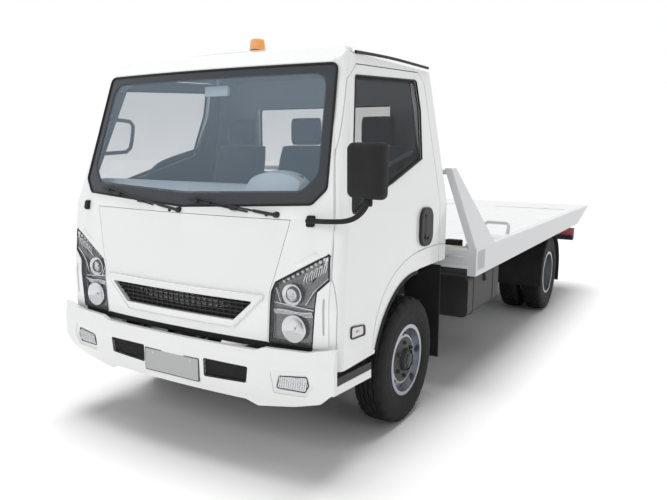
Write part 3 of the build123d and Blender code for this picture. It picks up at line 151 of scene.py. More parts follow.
class Sheet:
    """One material while it is written."""

    def __init__(self, name: str) -> None:
        """Starts an empty material of that name with its main shader."""
        self.material = bpy.data.materials.new(name)
        self.start(self.material, "ShaderNodeBsdfPrincipled", "ShaderNodeOutputMaterial")

    def start(self, owner: bpy.types.ID, shader: str, output: str) -> None:
        """Clears the owner's nodes and joins its main shader to its output."""
        owner.use_nodes = True
        self.tree = owner.node_tree
        self.tree.nodes.clear()
        self.shader = self.node(shader)
        self.node(output, inputs={0: self.shader.outputs[0]})

    def put(self, socket: bpy.types.NodeSocket, value: Any) -> None:
        """Gives a socket a value or a link."""
        if isinstance(value, Signal):
            self.tree.links.new(value.socket, socket)
        elif isinstance(value, bpy.types.NodeSocket):
            self.tree.links.new(value, socket)
        elif isinstance(value, tuple) and len(value) == 3 and len(socket.default_value) == 4:
            socket.default_value = (*value, 1.0)
        else:
            socket.default_value = value

    def node(self, kind: str, settings: Optional[dict[str, Any]] = None,
             inputs: Optional[dict[Any, Any]] = None) -> bpy.types.Node:
        """Makes one node.

        Args:
            kind: The node's type.
            settings: Its settings.
            inputs: Values or links of its sockets, by name or number.

        Returns:
            The node.
        """
        made = self.tree.nodes.new(kind)
        for key, value in (settings or {}).items():
            setattr(made, key, value)
        for key, value in (inputs or {}).items():
            self.put(made.inputs[key], value)
        return made

    def place(self) -> Signal:
        """The point of the surface in the truck's frame at rest."""
        return Signal(self, self.node("ShaderNodeTexCoord").outputs["Object"])

    def axes(self) -> tuple[Signal, Signal, Signal]:
        """The point's X, Y and Z in metres."""
        made = self.node("ShaderNodeSeparateXYZ", inputs={0: self.place()})
        return tuple(Signal(self, made.outputs[number]) for number in range(3))

    def noise(self, scale: Number, detail: Number = 3.0, rough: Number = 0.5,
              stretch: Point = (1.0, 1.0, 1.0)) -> Signal:
        """Noise over the surface, from nought to one.

        Args:
            scale: Waves in a metre.
            detail: Finer layers.
            rough: How strong the finer layers are.
            stretch: Scale along each axis.

        Returns:
            The noise value.
        """
        placed = self.node("ShaderNodeMapping", inputs={"Vector": self.place(), "Scale": stretch})
        made = self.node("ShaderNodeTexNoise", inputs={
            "Vector": placed.outputs[0], "Scale": scale, "Detail": detail, "Roughness": rough})
        return Signal(self, made.outputs[0])

    def cells(self, scale: Number, feature: str = "F1", stretch: Point = (1.0, 1.0, 1.0)) -> Signal:
        """Distance in a pattern of cells, scale cells in a metre."""
        placed = self.node("ShaderNodeMapping", inputs={"Vector": self.place(), "Scale": stretch})
        made = self.node("ShaderNodeTexVoronoi", {"feature": feature},
                         {"Vector": placed.outputs[0], "Scale": scale})
        return Signal(self, made.outputs["Distance"])

    def mix(self, mask: Any, low: Any, high: Any) -> Signal:
        """Colour low where the mask is nought and high where it is one."""
        made = self.node("ShaderNodeMix", {"data_type": "RGBA"}, {0: mask, 6: low, 7: high})
        return Signal(self, made.outputs[2])

    def bump(self, height: Signal, depth: Number, strength: Number = 1.0) -> Signal:
        """Bump from a height of nought to one, depth metres deep."""
        made = self.node("ShaderNodeBump", inputs={
            "Strength": strength, "Distance": depth, "Height": height})
        return Signal(self, made.outputs[0])

    def set(self, **values: Any) -> None:
        """Gives the main shader's sockets their values, with _ for the spaces in a name."""
        for key, value in values.items():
            self.put(self.shader.inputs[key.replace("_", " ")], value)


class Sky(Sheet):
    """The studio's world while it is written."""

    def __init__(self, name: str) -> None:
        """Starts an empty world of that name with its background."""
        self.world = bpy.data.worlds.new(name)
        self.start(self.world, "ShaderNodeBackground", "ShaderNodeOutputWorld")


# Finishes


@dataclass(frozen=True)
class Finish:
    """What every finish has: a name, a colour and a way to be made."""

    name: str
    colour: Colour

    def make(self) -> bpy.types.Material:
        """Builds the material."""
        sheet = Sheet(self.name)
        self.write(sheet)
        return sheet.material

    def write(self, sheet: Sheet) -> None:
        """Writes the material's nodes, each kind of finish in its own way."""
        raise NotImplementedError


@dataclass(frozen=True)
class Paint(Finish):
    """Sprayed paint with a clear coat, road dust low down and a faint ripple."""

    rough: float = 0.28
    coat: float = 0.6
    dust: float = 0.25
    dust_top: float = 0.75

    def write(self, sheet: Sheet) -> None:
        """Writes the material's nodes."""
        _, _, z = sheet.axes()
        patch = sheet.noise(3.0, 5.0, 0.6)
        film = (1 - z.rise(0.25, self.dust_top)) * patch.rise(0.3, 0.75) * self.dust
        shade = sheet.noise(1.1, 2.0).rise(0.2, 0.8, 0.97, 1.0)
        tone = sheet.mix(film, self.colour, (0.36, 0.33, 0.29))
        shaded = sheet.node("ShaderNodeVectorMath", {"operation": "SCALE"}, {0: tone, "Scale": shade})
        peel = sheet.noise(260.0, 2.0)
        sheet.set(Base_Color=Signal(sheet, shaded.outputs[0]),
                  Roughness=self.rough + film * 0.5 + patch * 0.03,
                  Coat_Weight=self.coat * (1 - film), Coat_Roughness=0.05,
                  Normal=sheet.bump(peel, 0.0001, 0.25))


@dataclass(frozen=True)
class Moulded(Finish):
    """Moulded plastic with a fine leather-like grain."""

    rough: float = 0.5
    grain: float = 900.0
    depth: float = 0.0002
    fade: float = 0.25

    def write(self, sheet: Sheet) -> None:
        """Writes the material's nodes."""
        cloud = sheet.noise(9.0, 4.0)
        pale = tuple(min(1.0, part * 1.6 + 0.02) for part in self.colour)
        grain = sheet.cells(self.grain, "SMOOTH_F1")
        sheet.set(Base_Color=sheet.mix(cloud.rise(0.35, 0.8) * self.fade, self.colour, pale),
                  Roughness=self.rough + cloud * 0.12 - 0.06, Specular_IOR_Level=0.28,
                  Normal=sheet.bump(grain, self.depth, 0.5))


@dataclass(frozen=True)
class Metal(Finish):
    """Bare or plated metal, brushed or cast."""

    rough: float = 0.3
    metallic: float = 1.0
    grit: float = 60.0
    depth: float = 0.0003
    stain: float = 0.2
    stain_colour: Colour = (0.16, 0.13, 0.10)

    def write(self, sheet: Sheet) -> None:
        """Writes the material's nodes."""
        cloud = sheet.noise(14.0, 5.0, 0.65)
        grit = sheet.noise(self.grit, 3.0)
        worn = cloud.rise(0.45, 0.85) * self.stain
        sheet.set(Base_Color=sheet.mix(worn, self.colour, self.stain_colour),
                  Metallic=self.metallic - worn * 0.5 * self.metallic,
                  Roughness=self.rough + worn * 0.4 + grit * 0.06,
                  Normal=sheet.bump(grit, self.depth, 0.5))


@dataclass(frozen=True)
class Tread(Finish):
    """Tyre rubber, matt, with patches of a dusty film."""

    colour: Colour = (0.010, 0.010, 0.011)

    def write(self, sheet: Sheet) -> None:
        """Writes the material's nodes."""
        dust = sheet.noise(22.0, 6.0, 0.7)
        fine = sheet.noise(420.0, 2.0)
        sheet.set(Base_Color=sheet.mix(dust.rise(0.4, 0.8, 0.0, 0.35), self.colour, (0.040, 0.038, 0.034)),
                  Roughness=dust.rise(0.2, 0.9, 0.62, 0.9), Specular_IOR_Level=0.22,
                  Normal=sheet.bump(fine, 0.0004, 0.4))


@dataclass(frozen=True)
class Cloth(Finish):
    """Woven seat cloth."""

    thread: float = 420.0

    def write(self, sheet: Sheet) -> None:
        """Writes the material's nodes."""
        x, y, z = sheet.axes()
        turn = self.thread * tau
        weave = (x * turn).wave() * ((y + z) * turn).wave()
        worn = sheet.noise(7.0, 4.0)
        pale = tuple(min(1.0, part * 1.7 + 0.03) for part in self.colour)
        fleck = sheet.noise(600.0, 1.0)
        sheet.set(Base_Color=sheet.mix(fleck.rise(0.35, 0.7) * 0.5 + worn * 0.2, self.colour, pale),
                  Roughness=0.85 + worn * 0.1, Sheen_Weight=0.3, Normal=sheet.bump(weave, 0.0006, 0.5))


@dataclass(frozen=True)
class Glazing(Finish):
    """Tinted window glass: a see-through film of colour under a sharp gloss."""

    cover: float = 0.5
    bend: float = 1.5

    def write(self, sheet: Sheet) -> None:
        """Writes the material's nodes."""
        _, _, z = sheet.axes()
        film = sheet.noise(4.0, 3.0)
        sheet.set(Base_Color=sheet.mix(film * 0.25, self.colour, (0.33, 0.38, 0.41)),
                  Roughness=0.01 + film * 0.01, IOR=self.bend,
                  Alpha=self.cover + z.rise(1.35, 2.1) * 0.06 + film * 0.04)


@dataclass(frozen=True)
class Lens(Finish):
    """Ribbed lamp lens."""

    cover: float = 0.35
    ribs: float = 90.0
    glow: float = 0.0
    ripple: float = 0.0006

    def write(self, sheet: Sheet) -> None:
        """Writes the material's nodes."""
        x, _, z = sheet.axes()
        rib = (x * self.ribs * tau).wave() * 0.5 + (z * self.ribs * tau).wave() * 0.5
        sheet.set(Base_Color=sheet.mix(sheet.noise(30.0) * 0.3, self.colour, (0.9, 0.9, 0.9)),
                  Roughness=0.06, IOR=1.5, Alpha=self.cover,
                  Emission_Color=self.colour, Emission_Strength=self.glow,
                  Normal=sheet.bump(rib, self.ripple, 0.6))


@dataclass(frozen=True)
class DeckSheet(Finish):
    """Painted steel deck with faint plate joints, scuffs and tyre marks."""

    def write(self, sheet: Sheet) -> None:
        """Writes the material's nodes."""
        x, y, _ = sheet.axes()
        joint = ((y / 1.22 + 0.1) * pi).wave().size()
        seam = 1 - joint.rise(0.0, 0.012)
        track = 1 - (x.size() - 0.72).size().rise(0.02, 0.2)
        scuff = sheet.noise(9.0, 7.0, 0.72, (1.0, 0.25, 1.0)).rise(0.45, 0.8)
        mark = seam * 0.35 + track * scuff * 0.22 + scuff * 0.08
        sheet.set(Base_Color=sheet.mix(mark, self.colour, (0.33, 0.32, 0.30)),
                  Roughness=0.42 + scuff * 0.2, Coat_Weight=0.15,
                  Normal=sheet.bump(seam * -1 + sheet.noise(120.0) * 0.05, 0.0015, 0.7))


@dataclass(frozen=True)
class Mesh(Finish):
    """Dark mesh drawn as a relief on a backing sheet, its openings painted nearly black as painted shade
    behind the mesh.
    """

    colour: Colour = (0.012, 0.012, 0.013)
    pitch: float = 95.0

    def write(self, sheet: Sheet) -> None:
        """Writes the material's nodes."""
        cell = sheet.cells(self.pitch, "DISTANCE_TO_EDGE", (1.0, 0.0, 1.6))
        wire = 1 - cell.rise(0.06, 0.14)
        # the openings take the darker colour: painted shade seen through the mesh
        sheet.set(Base_Color=sheet.mix(wire, (0.003, 0.003, 0.003), self.colour),
                  Roughness=0.55 - wire * 0.1, Normal=sheet.bump(wire, 0.003, 1.0))


FINISHES: dict[str, Finish] = {finish.name: finish for finish in (
    Paint("cab_white", (0.80, 0.81, 0.81), 0.22, 0.8, 0.12),
    Paint("bed_white", (0.66, 0.68, 0.69), 0.38, 0.3, 0.10, 0.9),
    Paint("bumper_white", (0.79, 0.80, 0.80), 0.30, 0.5, 0.10, 0.6),
    Paint("chassis_black", (0.014, 0.014, 0.015), 0.55, 0.05, 0.10, 0.9),
    Moulded("trim_black", (0.020, 0.020, 0.022), 0.48),
    Moulded("soft_black", (0.012, 0.012, 0.013), 0.7, 500.0, 0.0003),
    Moulded("seal_black", (0.010, 0.010, 0.011), 0.55, 700.0, 0.0001, 0.1),
    Moulded("frit_black", (0.042, 0.046, 0.052), 0.12, 1500.0, 0.00002, 0.1),
    Moulded("dash_grey", (0.56, 0.67, 0.74), 0.6, 650.0, 0.0003, 0.15),
    Moulded("dash_dark", (0.055, 0.06, 0.066), 0.6, 650.0, 0.0003, 0.15),
    Moulded("liner_grey", (0.30, 0.32, 0.34), 0.8, 500.0, 0.0004, 0.1),
    Moulded("duct_black", (0.016, 0.016, 0.017), 0.55, 600.0, 0.0003),
    # grey of the painted shade that stands for the corner grooves
    Paint("groove_grey", (0.40, 0.41, 0.42), 0.4, 0.2, 0.1),
    Paint("plate_grey", (0.42, 0.43, 0.43), 0.45, 0.1, 0.1),
    Moulded("board_beige", (0.62, 0.52, 0.38), 0.75, 300.0, 0.0003, 0.2),
    Metal("wheel_silver", (0.38, 0.40, 0.43), 0.26, 0.92, 200.0, 0.0001, 0.25),
    Metal("hub_black", (0.035, 0.035, 0.036), 0.45, 0.3, 150.0, 0.0003, 0.3),
    Metal("cast_iron", (0.060, 0.058, 0.056), 0.62, 0.5, 90.0, 0.001, 0.5),
    Metal("engine_grey", (0.12, 0.12, 0.12), 0.55, 0.5, 60.0, 0.001, 0.6),
    Metal("spring_black", (0.045, 0.043, 0.042), 0.6, 0.3, 80.0, 0.0005, 0.6),
    Metal("worn_steel", (0.22, 0.17, 0.15), 0.6, 0.5, 60.0, 0.0004, 0.6),
    Metal("zinc", (0.62, 0.62, 0.60), 0.35, 0.9, 120.0, 0.0003, 0.25),
    Metal("rod_chrome", (0.82, 0.83, 0.84), 0.10, 1.0, 300.0, 0.00005, 0.05),
    Metal("lamp_chrome", (0.60, 0.61, 0.62), 0.14, 1.0, 300.0, 0.00003, 0.02),
    Metal("lamp_dark", (0.13, 0.132, 0.136), 0.22, 0.95, 200.0, 0.00005, 0.1),
    Metal("mirror_glass", (0.80, 0.82, 0.84), 0.03, 1.0, 400.0, 0.00001, 0.02),
    Metal("cable_steel", (0.42, 0.41, 0.40), 0.42, 0.9, 500.0, 0.0008, 0.3),
    Tread("tyre"),
    Cloth("seat_cloth", (0.045, 0.050, 0.060)),
    Glazing("screen_glass", (0.30, 0.40, 0.50), 0.13),
    Glazing("side_glass", (0.030, 0.036, 0.038), 0.13, 1.22),
    Lens("clear_lens", (0.55, 0.58, 0.62), 0.09, 60.0),
    Lens("amber_lens", (0.95, 0.36, 0.02), 0.86, 110.0, 0.12, 0.002),
    Lens("red_lens", (0.55, 0.010, 0.012), 0.94, 120.0, 0.03, 0.001),
    Lens("marker_lens", (0.78, 0.80, 0.82), 0.75, 120.0, 0.0, 0.0015),
    DeckSheet("deck_sheet", (0.72, 0.73, 0.735)),
    Mesh("grille_mesh"),
)}


class Finishes:
    """Makes each finish once, when it is first used."""

    def __init__(self) -> None:
        """Starts with nothing made."""
        self.made: dict[str, bpy.types.Material] = {}

    def __getitem__(self, name: str) -> bpy.types.Material:
        """The material of that finish."""
        if name not in self.made:
            self.made[name] = FINISHES[name].make()
        return self.made[name]


MATERIALS = Finishes()


# Shapes


@dataclass
class Shape:
    """Vertices and faces of one piece, gathered from simple forms."""

    name: str
    points: list[Vector] = field(default_factory=list)
    faces: list[tuple[int, ...]] = field(default_factory=list)
    slots: list[int] = field(default_factory=list)
    slot: int = 0

    def add(self, points: Sequence[Sequence[float]], faces: Iterable[Sequence[int]]) -> "Shape":
        """Adds points and the faces between them."""
        start = len(self.points)
        self.points.extend(Vector(point) for point in points)
        for face in faces:
            self.faces.append(tuple(start + number for number in face))
            self.slots.append(self.slot)
        return self

    def use(self, slot: int) -> "Shape":
        """The faces added from now on take this material slot."""
        self.slot = slot
        return self

    def box(self, low: Sequence[float], high: Sequence[float], cut: float = 0.002,
            turn: Optional[Matrix] = None) -> "Shape":
        """Adds a block whose edges are cut off.

        Args:
            low: One corner.
            high: The corner across from it.
            cut: Width of the cut edge.
            turn: A turn or move of the finished block.

        Returns:
            The shape.
        """
        low, high = Vector(map(min, low, high)), Vector(map(max, low, high))
        cut = min(cut, min(high - low) * 0.45)
        made = bmesh.new()
        bmesh.ops.create_cube(made, size=1.0)
        for vert in made.verts:
            vert.co = Vector((vert.co[i] + 0.5) * (high[i] - low[i]) + low[i] for i in range(3))
        bmesh.ops.bevel(made, geom=made.edges[:] + made.verts[:], offset=cut, segments=2,
                        affect="EDGES", profile=0.6)
        made.verts.index_update()
        points = [turn @ vert.co if turn else vert.co.copy() for vert in made.verts]
        self.add(points, [[vert.index for vert in face.verts] for face in made.faces])
        made.free()
        return self

    def loft(self, rings: Sequence[Line], closed: bool = True, caps: bool = True) -> "Shape":
        """Skins a row of rings that have equal numbers of points.

        Args:
            rings: The rings in order.
            closed: Whether each ring joins its ends.
            caps: Whether the first and last rings are filled.

        Returns:
            The shape.
        """
        count = len(rings[0])
        points = [point for ring in rings for point in ring]
        faces: list[Sequence[int]] = []
        for row in range(len(rings) - 1):
            for column in range(count if closed else count - 1):
                following = (column + 1) % count
                faces.append((row * count + column, row * count + following,
                              (row + 1) * count + following, (row + 1) * count + column))
        if caps and closed:
            faces.append(tuple(range(count))[::-1])
            faces.append(tuple((len(rings) - 1) * count + number for number in range(count)))
        return self.add(points, faces)

    def turned(self, profile: Sequence[Flat], centre: Sequence[float], axis: Sequence[float],
               segments: int = 32, caps: bool = True) -> "Shape":
        """Adds a turned form.

        Args:
            profile: Rows of (distance along the axis, radius).
            centre: Where the axis starts.
            axis: Its direction.
            segments: Points round it.
            caps: Whether the ends are filled.

        Returns:
            The shape.
        """
        along = Vector(axis).normalized()
        side = along.orthogonal().normalized()
        up = along.cross(side)
        rings = [circle(Vector(centre) + along * out, side, up, radius, segments)
                 for out, radius in profile]
        return self.loft(rings, caps=caps)

    def rod(self, start: Sequence[float], end: Sequence[float], radius: float, cut: float = 0.0015,
            segments: int = 20) -> "Shape":
        """Adds a round bar with softened ends."""
        along = Vector(end) - Vector(start)
        length = along.length
        cut = min(cut, radius * 0.5, length * 0.4)
        profile = ((0, radius - cut), (cut, radius), (length - cut, radius), (length, radius - cut))
        return self.turned(profile, start, along, segments)

    def bolt(self, centre: Sequence[float], axis: Sequence[float], radius: float = 0.009) -> "Shape":
        """Adds a hexagon head on a washer."""
        high = radius * 0.9
        self.turned(((0, radius * 1.5), (high * 0.2, radius * 1.5), (high * 0.25, radius * 1.4)),
                    centre, axis, 16)
        start = Vector(centre) + Vector(axis).normalized() * high * 0.2
        return self.turned(((0, radius), (high * 0.75, radius), (high, radius * 0.82)), start, axis, 6)

    def tube(self, route: Line, radius: float, segments: int = 12, smooth: int = 0,
             caps: bool = True) -> "Shape":
        """Adds a tube along points, rounded by corner cutting.

        Args:
            route: The points.
            radius: The tube's radius.
            segments: Points round it.
            smooth: Rounds of corner cutting.
            caps: Whether its ends are filled.

        Returns:
            The shape.
        """
        row = [Vector(point) for point in route]
        for _ in range(smooth):
            cut = [row[0]]
            for here, after in zip(row, row[1:]):
                cut.extend((here.lerp(after, 0.25), here.lerp(after, 0.75)))
            row = cut + [row[-1]]
        side = (row[1] - row[0]).orthogonal().normalized()
        rings = []
        for number, point in enumerate(row):
            before = row[max(number - 1, 0)]
            after = row[min(number + 1, len(row) - 1)]
            along = (after - before).normalized()
            side = (side - along * side.dot(along)).normalized()
            rings.append(circle(point, side, along.cross(side), radius, segments))
        return self.loft(rings, caps=caps)

    def loop(self, line: Line, radius: float, segments: int = 8) -> "Shape":
        """Adds a closed tube along a line of points."""
        return self.tube(list(line) + list(line[:2]), radius, segments, caps=False)

    def slab(self, outline: Line, depth: Sequence[float]) -> "Shape":
        """Adds a plate: an outline in space, thickened along depth."""
        front = [Vector(point) for point in outline]
        return self.loft([front, [point + Vector(depth) for point in front]])

    def domed(self, outline: Sequence[Flat], middle: Flat, rows: Sequence[Flat],
              lay: Callable[[float, float, float], Point]) -> "Shape":
        """Adds a closed form whose outline shrinks or grows from row to row.

        Args:
            outline: Its flat outline at full size.
            middle: The flat point that it shrinks to.
            rows: Depth and share of the full size, row by row.
            lay: Gives the place in space of a flat point at a depth.

        Returns:
            The shape.
        """
        return self.loft([[lay(middle[0] + (u - middle[0]) * share, middle[1] + (v - middle[1]) * share,
                               depth) for u, v in outline] for depth, share in rows])

    def mesh_cell(self, centre: Sequence[float], radius: float, step: float) -> "Shape":
        """Adds the rim of one six-sided opening, with a step behind its face."""
        x, y, z = centre
        turns = [tau * (corner + 0.5) / 6 for corner in range(6)]
        rows = ((radius, 0.0), (radius * 0.66, step), (radius * 0.66, step + 0.004))
        return self.loft([[(x + wide * cos(t), y + deep, z + wide * sin(t)) for t in turns]
                          for wide, deep in rows], caps=False)

    def mirrored(self) -> "Shape":
        """Adds the same shape on the truck's other side."""
        count = len(self.points)
        faces, slots = list(self.faces), list(self.slots)
        self.points.extend(Vector((-p.x, p.y, p.z)) for p in self.points[:count])
        self.faces.extend(tuple(number + count for number in reversed(face)) for face in faces)
        self.slots.extend(slots)
        return self

    def finish(self, body: str, *finishes: str, smooth: float = 35.0) -> bpy.types.Object:
        """Makes the object.

        Args:
            body: The CAD body that it rides on.
            finishes: Names of its finishes, by slot.
            smooth: Angle in degrees below which faces shade smoothly.

        Returns:
            The object.
        """
        mesh = bpy.data.meshes.new(self.name)
        mesh.from_pydata([tuple(point) for point in self.points], [], self.faces)
        for polygon, slot in zip(mesh.polygons, self.slots):
            polygon.material_index = slot
        made = bmesh.new()
        made.from_mesh(mesh)
        bmesh.ops.recalc_face_normals(made, faces=made.faces[:])
        for edge in made.edges:
            edge.smooth = not edge.is_manifold or edge.calc_face_angle() < radians(smooth)
        for face in made.faces:
            face.smooth = True
        made.to_mesh(mesh)
        made.free()
        thing = bpy.data.objects.new(self.name, mesh)
        bpy.context.scene.collection.objects.link(thing)
        for name in finishes:
            mesh.materials.append(MATERIALS[name])
        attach(thing, body)
        return thing


def circle(centre: Vector, side: Vector, up: Vector, radius: float, count: int) -> list[Vector]:
    """Points round a circle whose plane holds the directions side and up."""
    return [centre + radius * (side * cos(tau * n / count) + up * sin(tau * n / count))
            for n in range(count)]


def evenly(start: float, pitch: float, count: int) -> list[float]:
    """A count of places from start on, a pitch apart."""
    return [start + number * pitch for number in range(count)]


def around(centre: Vector, radius: float, count: int, start: float = 0.0) -> list[Vector]:
    """Points round an axis along X, the first one start steps on from the rear."""
    return [centre + Vector((0, cos(turn), sin(turn))) * radius
            for turn in (tau * (number + start) / count for number in range(count))]


def round_outline(points: Sequence[Flat], radius: float, steps: int = 6) -> list[Flat]:
    """Rounds the corners of a flat closed outline.

    Args:
        points: Its corners.
        radius: Radius of each corner.
        steps: Points along each corner.

    Returns:
        The rounded outline.
    """
    made: list[Flat] = []
    count = len(points)
    for number in range(count):
        here = Vector(points[number])
        before = (Vector(points[number - 1]) - here)
        after = (Vector(points[(number + 1) % count]) - here)
        half = before.angle(after) / 2
        reach = min(radius / max(tan(half), 0.05), before.length * 0.48, after.length * 0.48)
        start, end = here + before.normalized() * reach, here + after.normalized() * reach
        for step in range(steps + 1):
            t = step / steps
            spot = start * (1 - t) ** 2 + here * 2 * t * (1 - t) + end * t ** 2
            made.append((spot.x, spot.y))
    return made


def rectangle(low: Flat, high: Flat, radius: float, steps: int) -> list[Flat]:
    """Rounded outline of an upright rectangle between its lower and upper corner."""
    return round_outline((low, (high[0], low[1]), high, (low[0], high[1])), radius, steps)


def square(step: Vector) -> Vector:
    """The unit vector square to a step, to its left."""
    return Vector((-step.y, step.x)).normalized()


def inset_outline(points: Sequence[Flat], inset: float) -> list[Flat]:
    """Moves a closed outline inwards by inset, keeping its number of points."""
    count = len(points)
    area = sum(points[i - 1][0] * points[i][1] - points[i][0] * points[i - 1][1] for i in range(count))
    sign = 1 if area > 0 else -1
    made = []
    for number in range(count):
        before, here, after = (Vector(points[(number + step) % count]) for step in (-1, 0, 1))
        first, second = here - before, after - here
        if first.length < 1e-6 or second.length < 1e-6:
            first = second = after - before
        normal = square(first) + square(second)
        normal = normal.normalized() if normal.length > 1e-6 else square(first)
        lean = max(0.35, normal.dot(square(first)))
        spot = here + normal * (sign * inset / lean)
        made.append((spot.x, spot.y))
    return made


def paired(outer: Sequence[Flat], inner: Sequence[Flat], step: float) -> tuple[list[Flat], list[Flat]]:
    """Adds points alike to two closed outlines, so that no side of the outer one passes step."""
    made: tuple[list[Flat], list[Flat]] = ([], [])
    for number, here in enumerate(outer):
        following = (number + 1) % len(outer)
        parts = max(1, ceil(dist(here, outer[following]) / step))
        for share in (part / parts for part in range(parts)):
            for row, start, end in ((made[0], here, outer[following]),
                                    (made[1], inner[number], inner[following])):
                row.append((start[0] + (end[0] - start[0]) * share,
                            start[1] + (end[1] - start[1]) * share))
    return made


def dense(points: Sequence[Flat], step: float) -> list[Flat]:
    """Adds points to a closed outline so that no side is longer than step."""
    return paired(points, points, step)[0]


def front_y(x: float, z: float) -> float:
    """Place of the cab's front face at x and z, as the CAD has it."""
    middle = CAB_FRONT_Y
    if z > WAIST_Z:
        middle = SCREEN_FOOT_Y + (SCREEN_TOP_Y - SCREEN_FOOT_Y) * (z - WAIST_Z) / (SCREEN_TOP_Z - WAIST_Z)
    elif z > NOSE_Z:
        middle += NOSE_LEAN * (z - NOSE_Z) / (WAIST_Z - NOSE_Z)
    return middle + BEND_R - sqrt(BEND_R ** 2 - x ** 2)


def side_x(z: float) -> float:
    """Half width of the cab at z."""
    return CAB_HALF_W - max(0.0, z - WAIST_Z) * (CAB_HALF_W - EAVE_X) / (EAVE_Z - WAIST_Z)


def on_front(points: Sequence[Flat], out: float) -> list[Point]:
    """Lays flat front-view points on the cab's front, out metres in front of it."""
    return [(x, front_y(x, z) - out, z) for x, z in points]


def sheet_grid(shape: Shape, outline: Sequence[Flat], lay: Lay) -> None:
    """Fills a closed outline with a fan of small faces laid on a curved surface.

    Args:
        shape: What the faces are added to.
        outline: The closed outline.
        lay: Gives the place in space of a flat point.
    """
    middle = (sum(p[0] for p in outline) / len(outline), sum(p[1] for p in outline) / len(outline))
    rings = []
    for share in (1.0, 0.8, 0.6, 0.4, 0.2):
        rings.append([lay(middle[0] + (x - middle[0]) * share, middle[1] + (z - middle[1]) * share)
                      for x, z in outline])
    shape.loft(rings, caps=False)
    shape.add(rings[-1] + [lay(*middle)],
              [(n, (n + 1) % len(outline), len(outline)) for n in range(len(outline))])


# Sub-assemblies


@dataclass
class CadDress:
    """Finishes of the CAD nodes whose shape stays."""

    wall: float = 0.030
    roof_inside_z: float = 2.210
    roof_crown: float = 0.09
    front_crown: float = 0.0746
    screen_slope: float = 0.312
    floor_z: float = 0.94
    by_finish: dict[str, str] = field(default_factory=lambda: {
        "screen_glass": "windscreen",
        "side_glass": "door_glass_left door_glass_right rear_window",
        "bumper_white": "front_bumper side_sills",
        "lamp_chrome": "fog_lamps",
        "red_lens": "rear_lamps",
        "trim_black": "steps handle_left handle_right grille steering_wheel",
        "duct_black": "intake_duct",
        "dash_grey": "dashboard",
        "chassis_black": "frame_rails cross_members hinge_brackets fuel_tank battery_box rear_lamp_bar "
                         "winch subframe slide_barrel tilt_barrels",
        "cast_iron": "front_axle rear_axle knuckle_left knuckle_right drive_shaft winch_drum",
        "spring_black": "leaf_springs",
        "engine_grey": "engine",
        "soft_black": "mudguards",
        "wheel_silver": "rim_front_left rim_front_right rims_rear_left rims_rear_right",
        "hub_black": "hub_front_left hub_front_right",
        "deck_sheet": "deck",
        "bed_white": "side_rails headboard wheel_stops",
        "rod_chrome": "slide_rod tilt_rods"})

    def cab_paint(self, name: str, inner: Colour) -> bpy.types.Material:
        """Cab paint outside, trim colour inside and black below.

        Args:
            name: The material's name.
            inner: Colour of the cabin side.

        Returns:
            The material.
        """
        sheet = Sheet(name)
        x, y, z = sheet.axes()
        over = (z - WAIST_Z).rise(0.0, EAVE_Z - WAIST_Z, 0.0, 1.0)
        half = CAB_HALF_W - over * (CAB_HALF_W - EAVE_X) - self.wall
        roof = self.roof_inside_z - (x * x) * self.roof_crown - z
        screen = (z - WAIST_Z) * self.screen_slope * (z > WAIST_Z)
        face = y - (SCREEN_FOOT_Y + self.wall) - x * x * self.front_crown - screen
        inside = ((half - x.size()) > 0.0) * (roof > 0.0) * (face > 0.0)
        inside = inside * (y < (CAB_REAR_Y - 0.025))
        # the slanted front edge of the roof
        inside = inside * ((3.335 - x * x * 0.05 + y * 0.7 - z * 0.72) > 0.0)
        low = (z < self.floor_z) * inside
        patch = sheet.noise(3.0, 5.0, 0.6)
        film = (1 - z.rise(0.45, 0.95)) * patch.rise(0.3, 0.75) * 0.14
        shade = sheet.mix(film, (0.80, 0.81, 0.81), (0.34, 0.31, 0.27))
        trim = sheet.mix(low, inner, (0.02, 0.02, 0.021))
        grain = sheet.cells(600.0, "SMOOTH_F1")
        sheet.set(Base_Color=sheet.mix(inside, shade, trim),
                  Roughness=0.22 + inside * 0.5 + film * 0.5, Coat_Weight=0.8 * (1 - inside),
                  Coat_Roughness=0.04,
                  Normal=sheet.bump(grain * inside * 0.03 + self.flare(x, y, z), 0.011, 0.9))
        return sheet.material

    def flare(self, x: Signal, y: Signal, z: Signal) -> Signal:
        """Height of the soft step pressed round the wheel arch: one inside it, nought beyond."""
        along = ((y + 1.70).size() / 0.81) ** 2.6
        above = ((z - 0.50).size() / 0.566) ** 2.6
        return (1 - (along + above).rise(0.970, 1.020)) * (x.size() > 0.95)

    def dress(self, nodes: dict[str, bpy.types.Object]) -> None:
        """Gives every kept CAD node its finish."""
        cab = self.cab_paint("cab_white_lined", (0.30, 0.32, 0.34))
        door = self.cab_paint("door_white_lined", (0.075, 0.08, 0.088))
        own = {"cab_shell": cab, "front_panel": MATERIALS["cab_white"],
               "door_left": door, "door_right": door}
        named = {node: finish for finish, row in self.by_finish.items() for node in row.split()}
        for name, node in nodes.items():
            material = own.get(name) or MATERIALS[named.get(name, "trim_black")]
            node.data.materials.clear()
            node.data.materials.append(material)
        log.info("dressed %d CAD nodes", len(nodes))


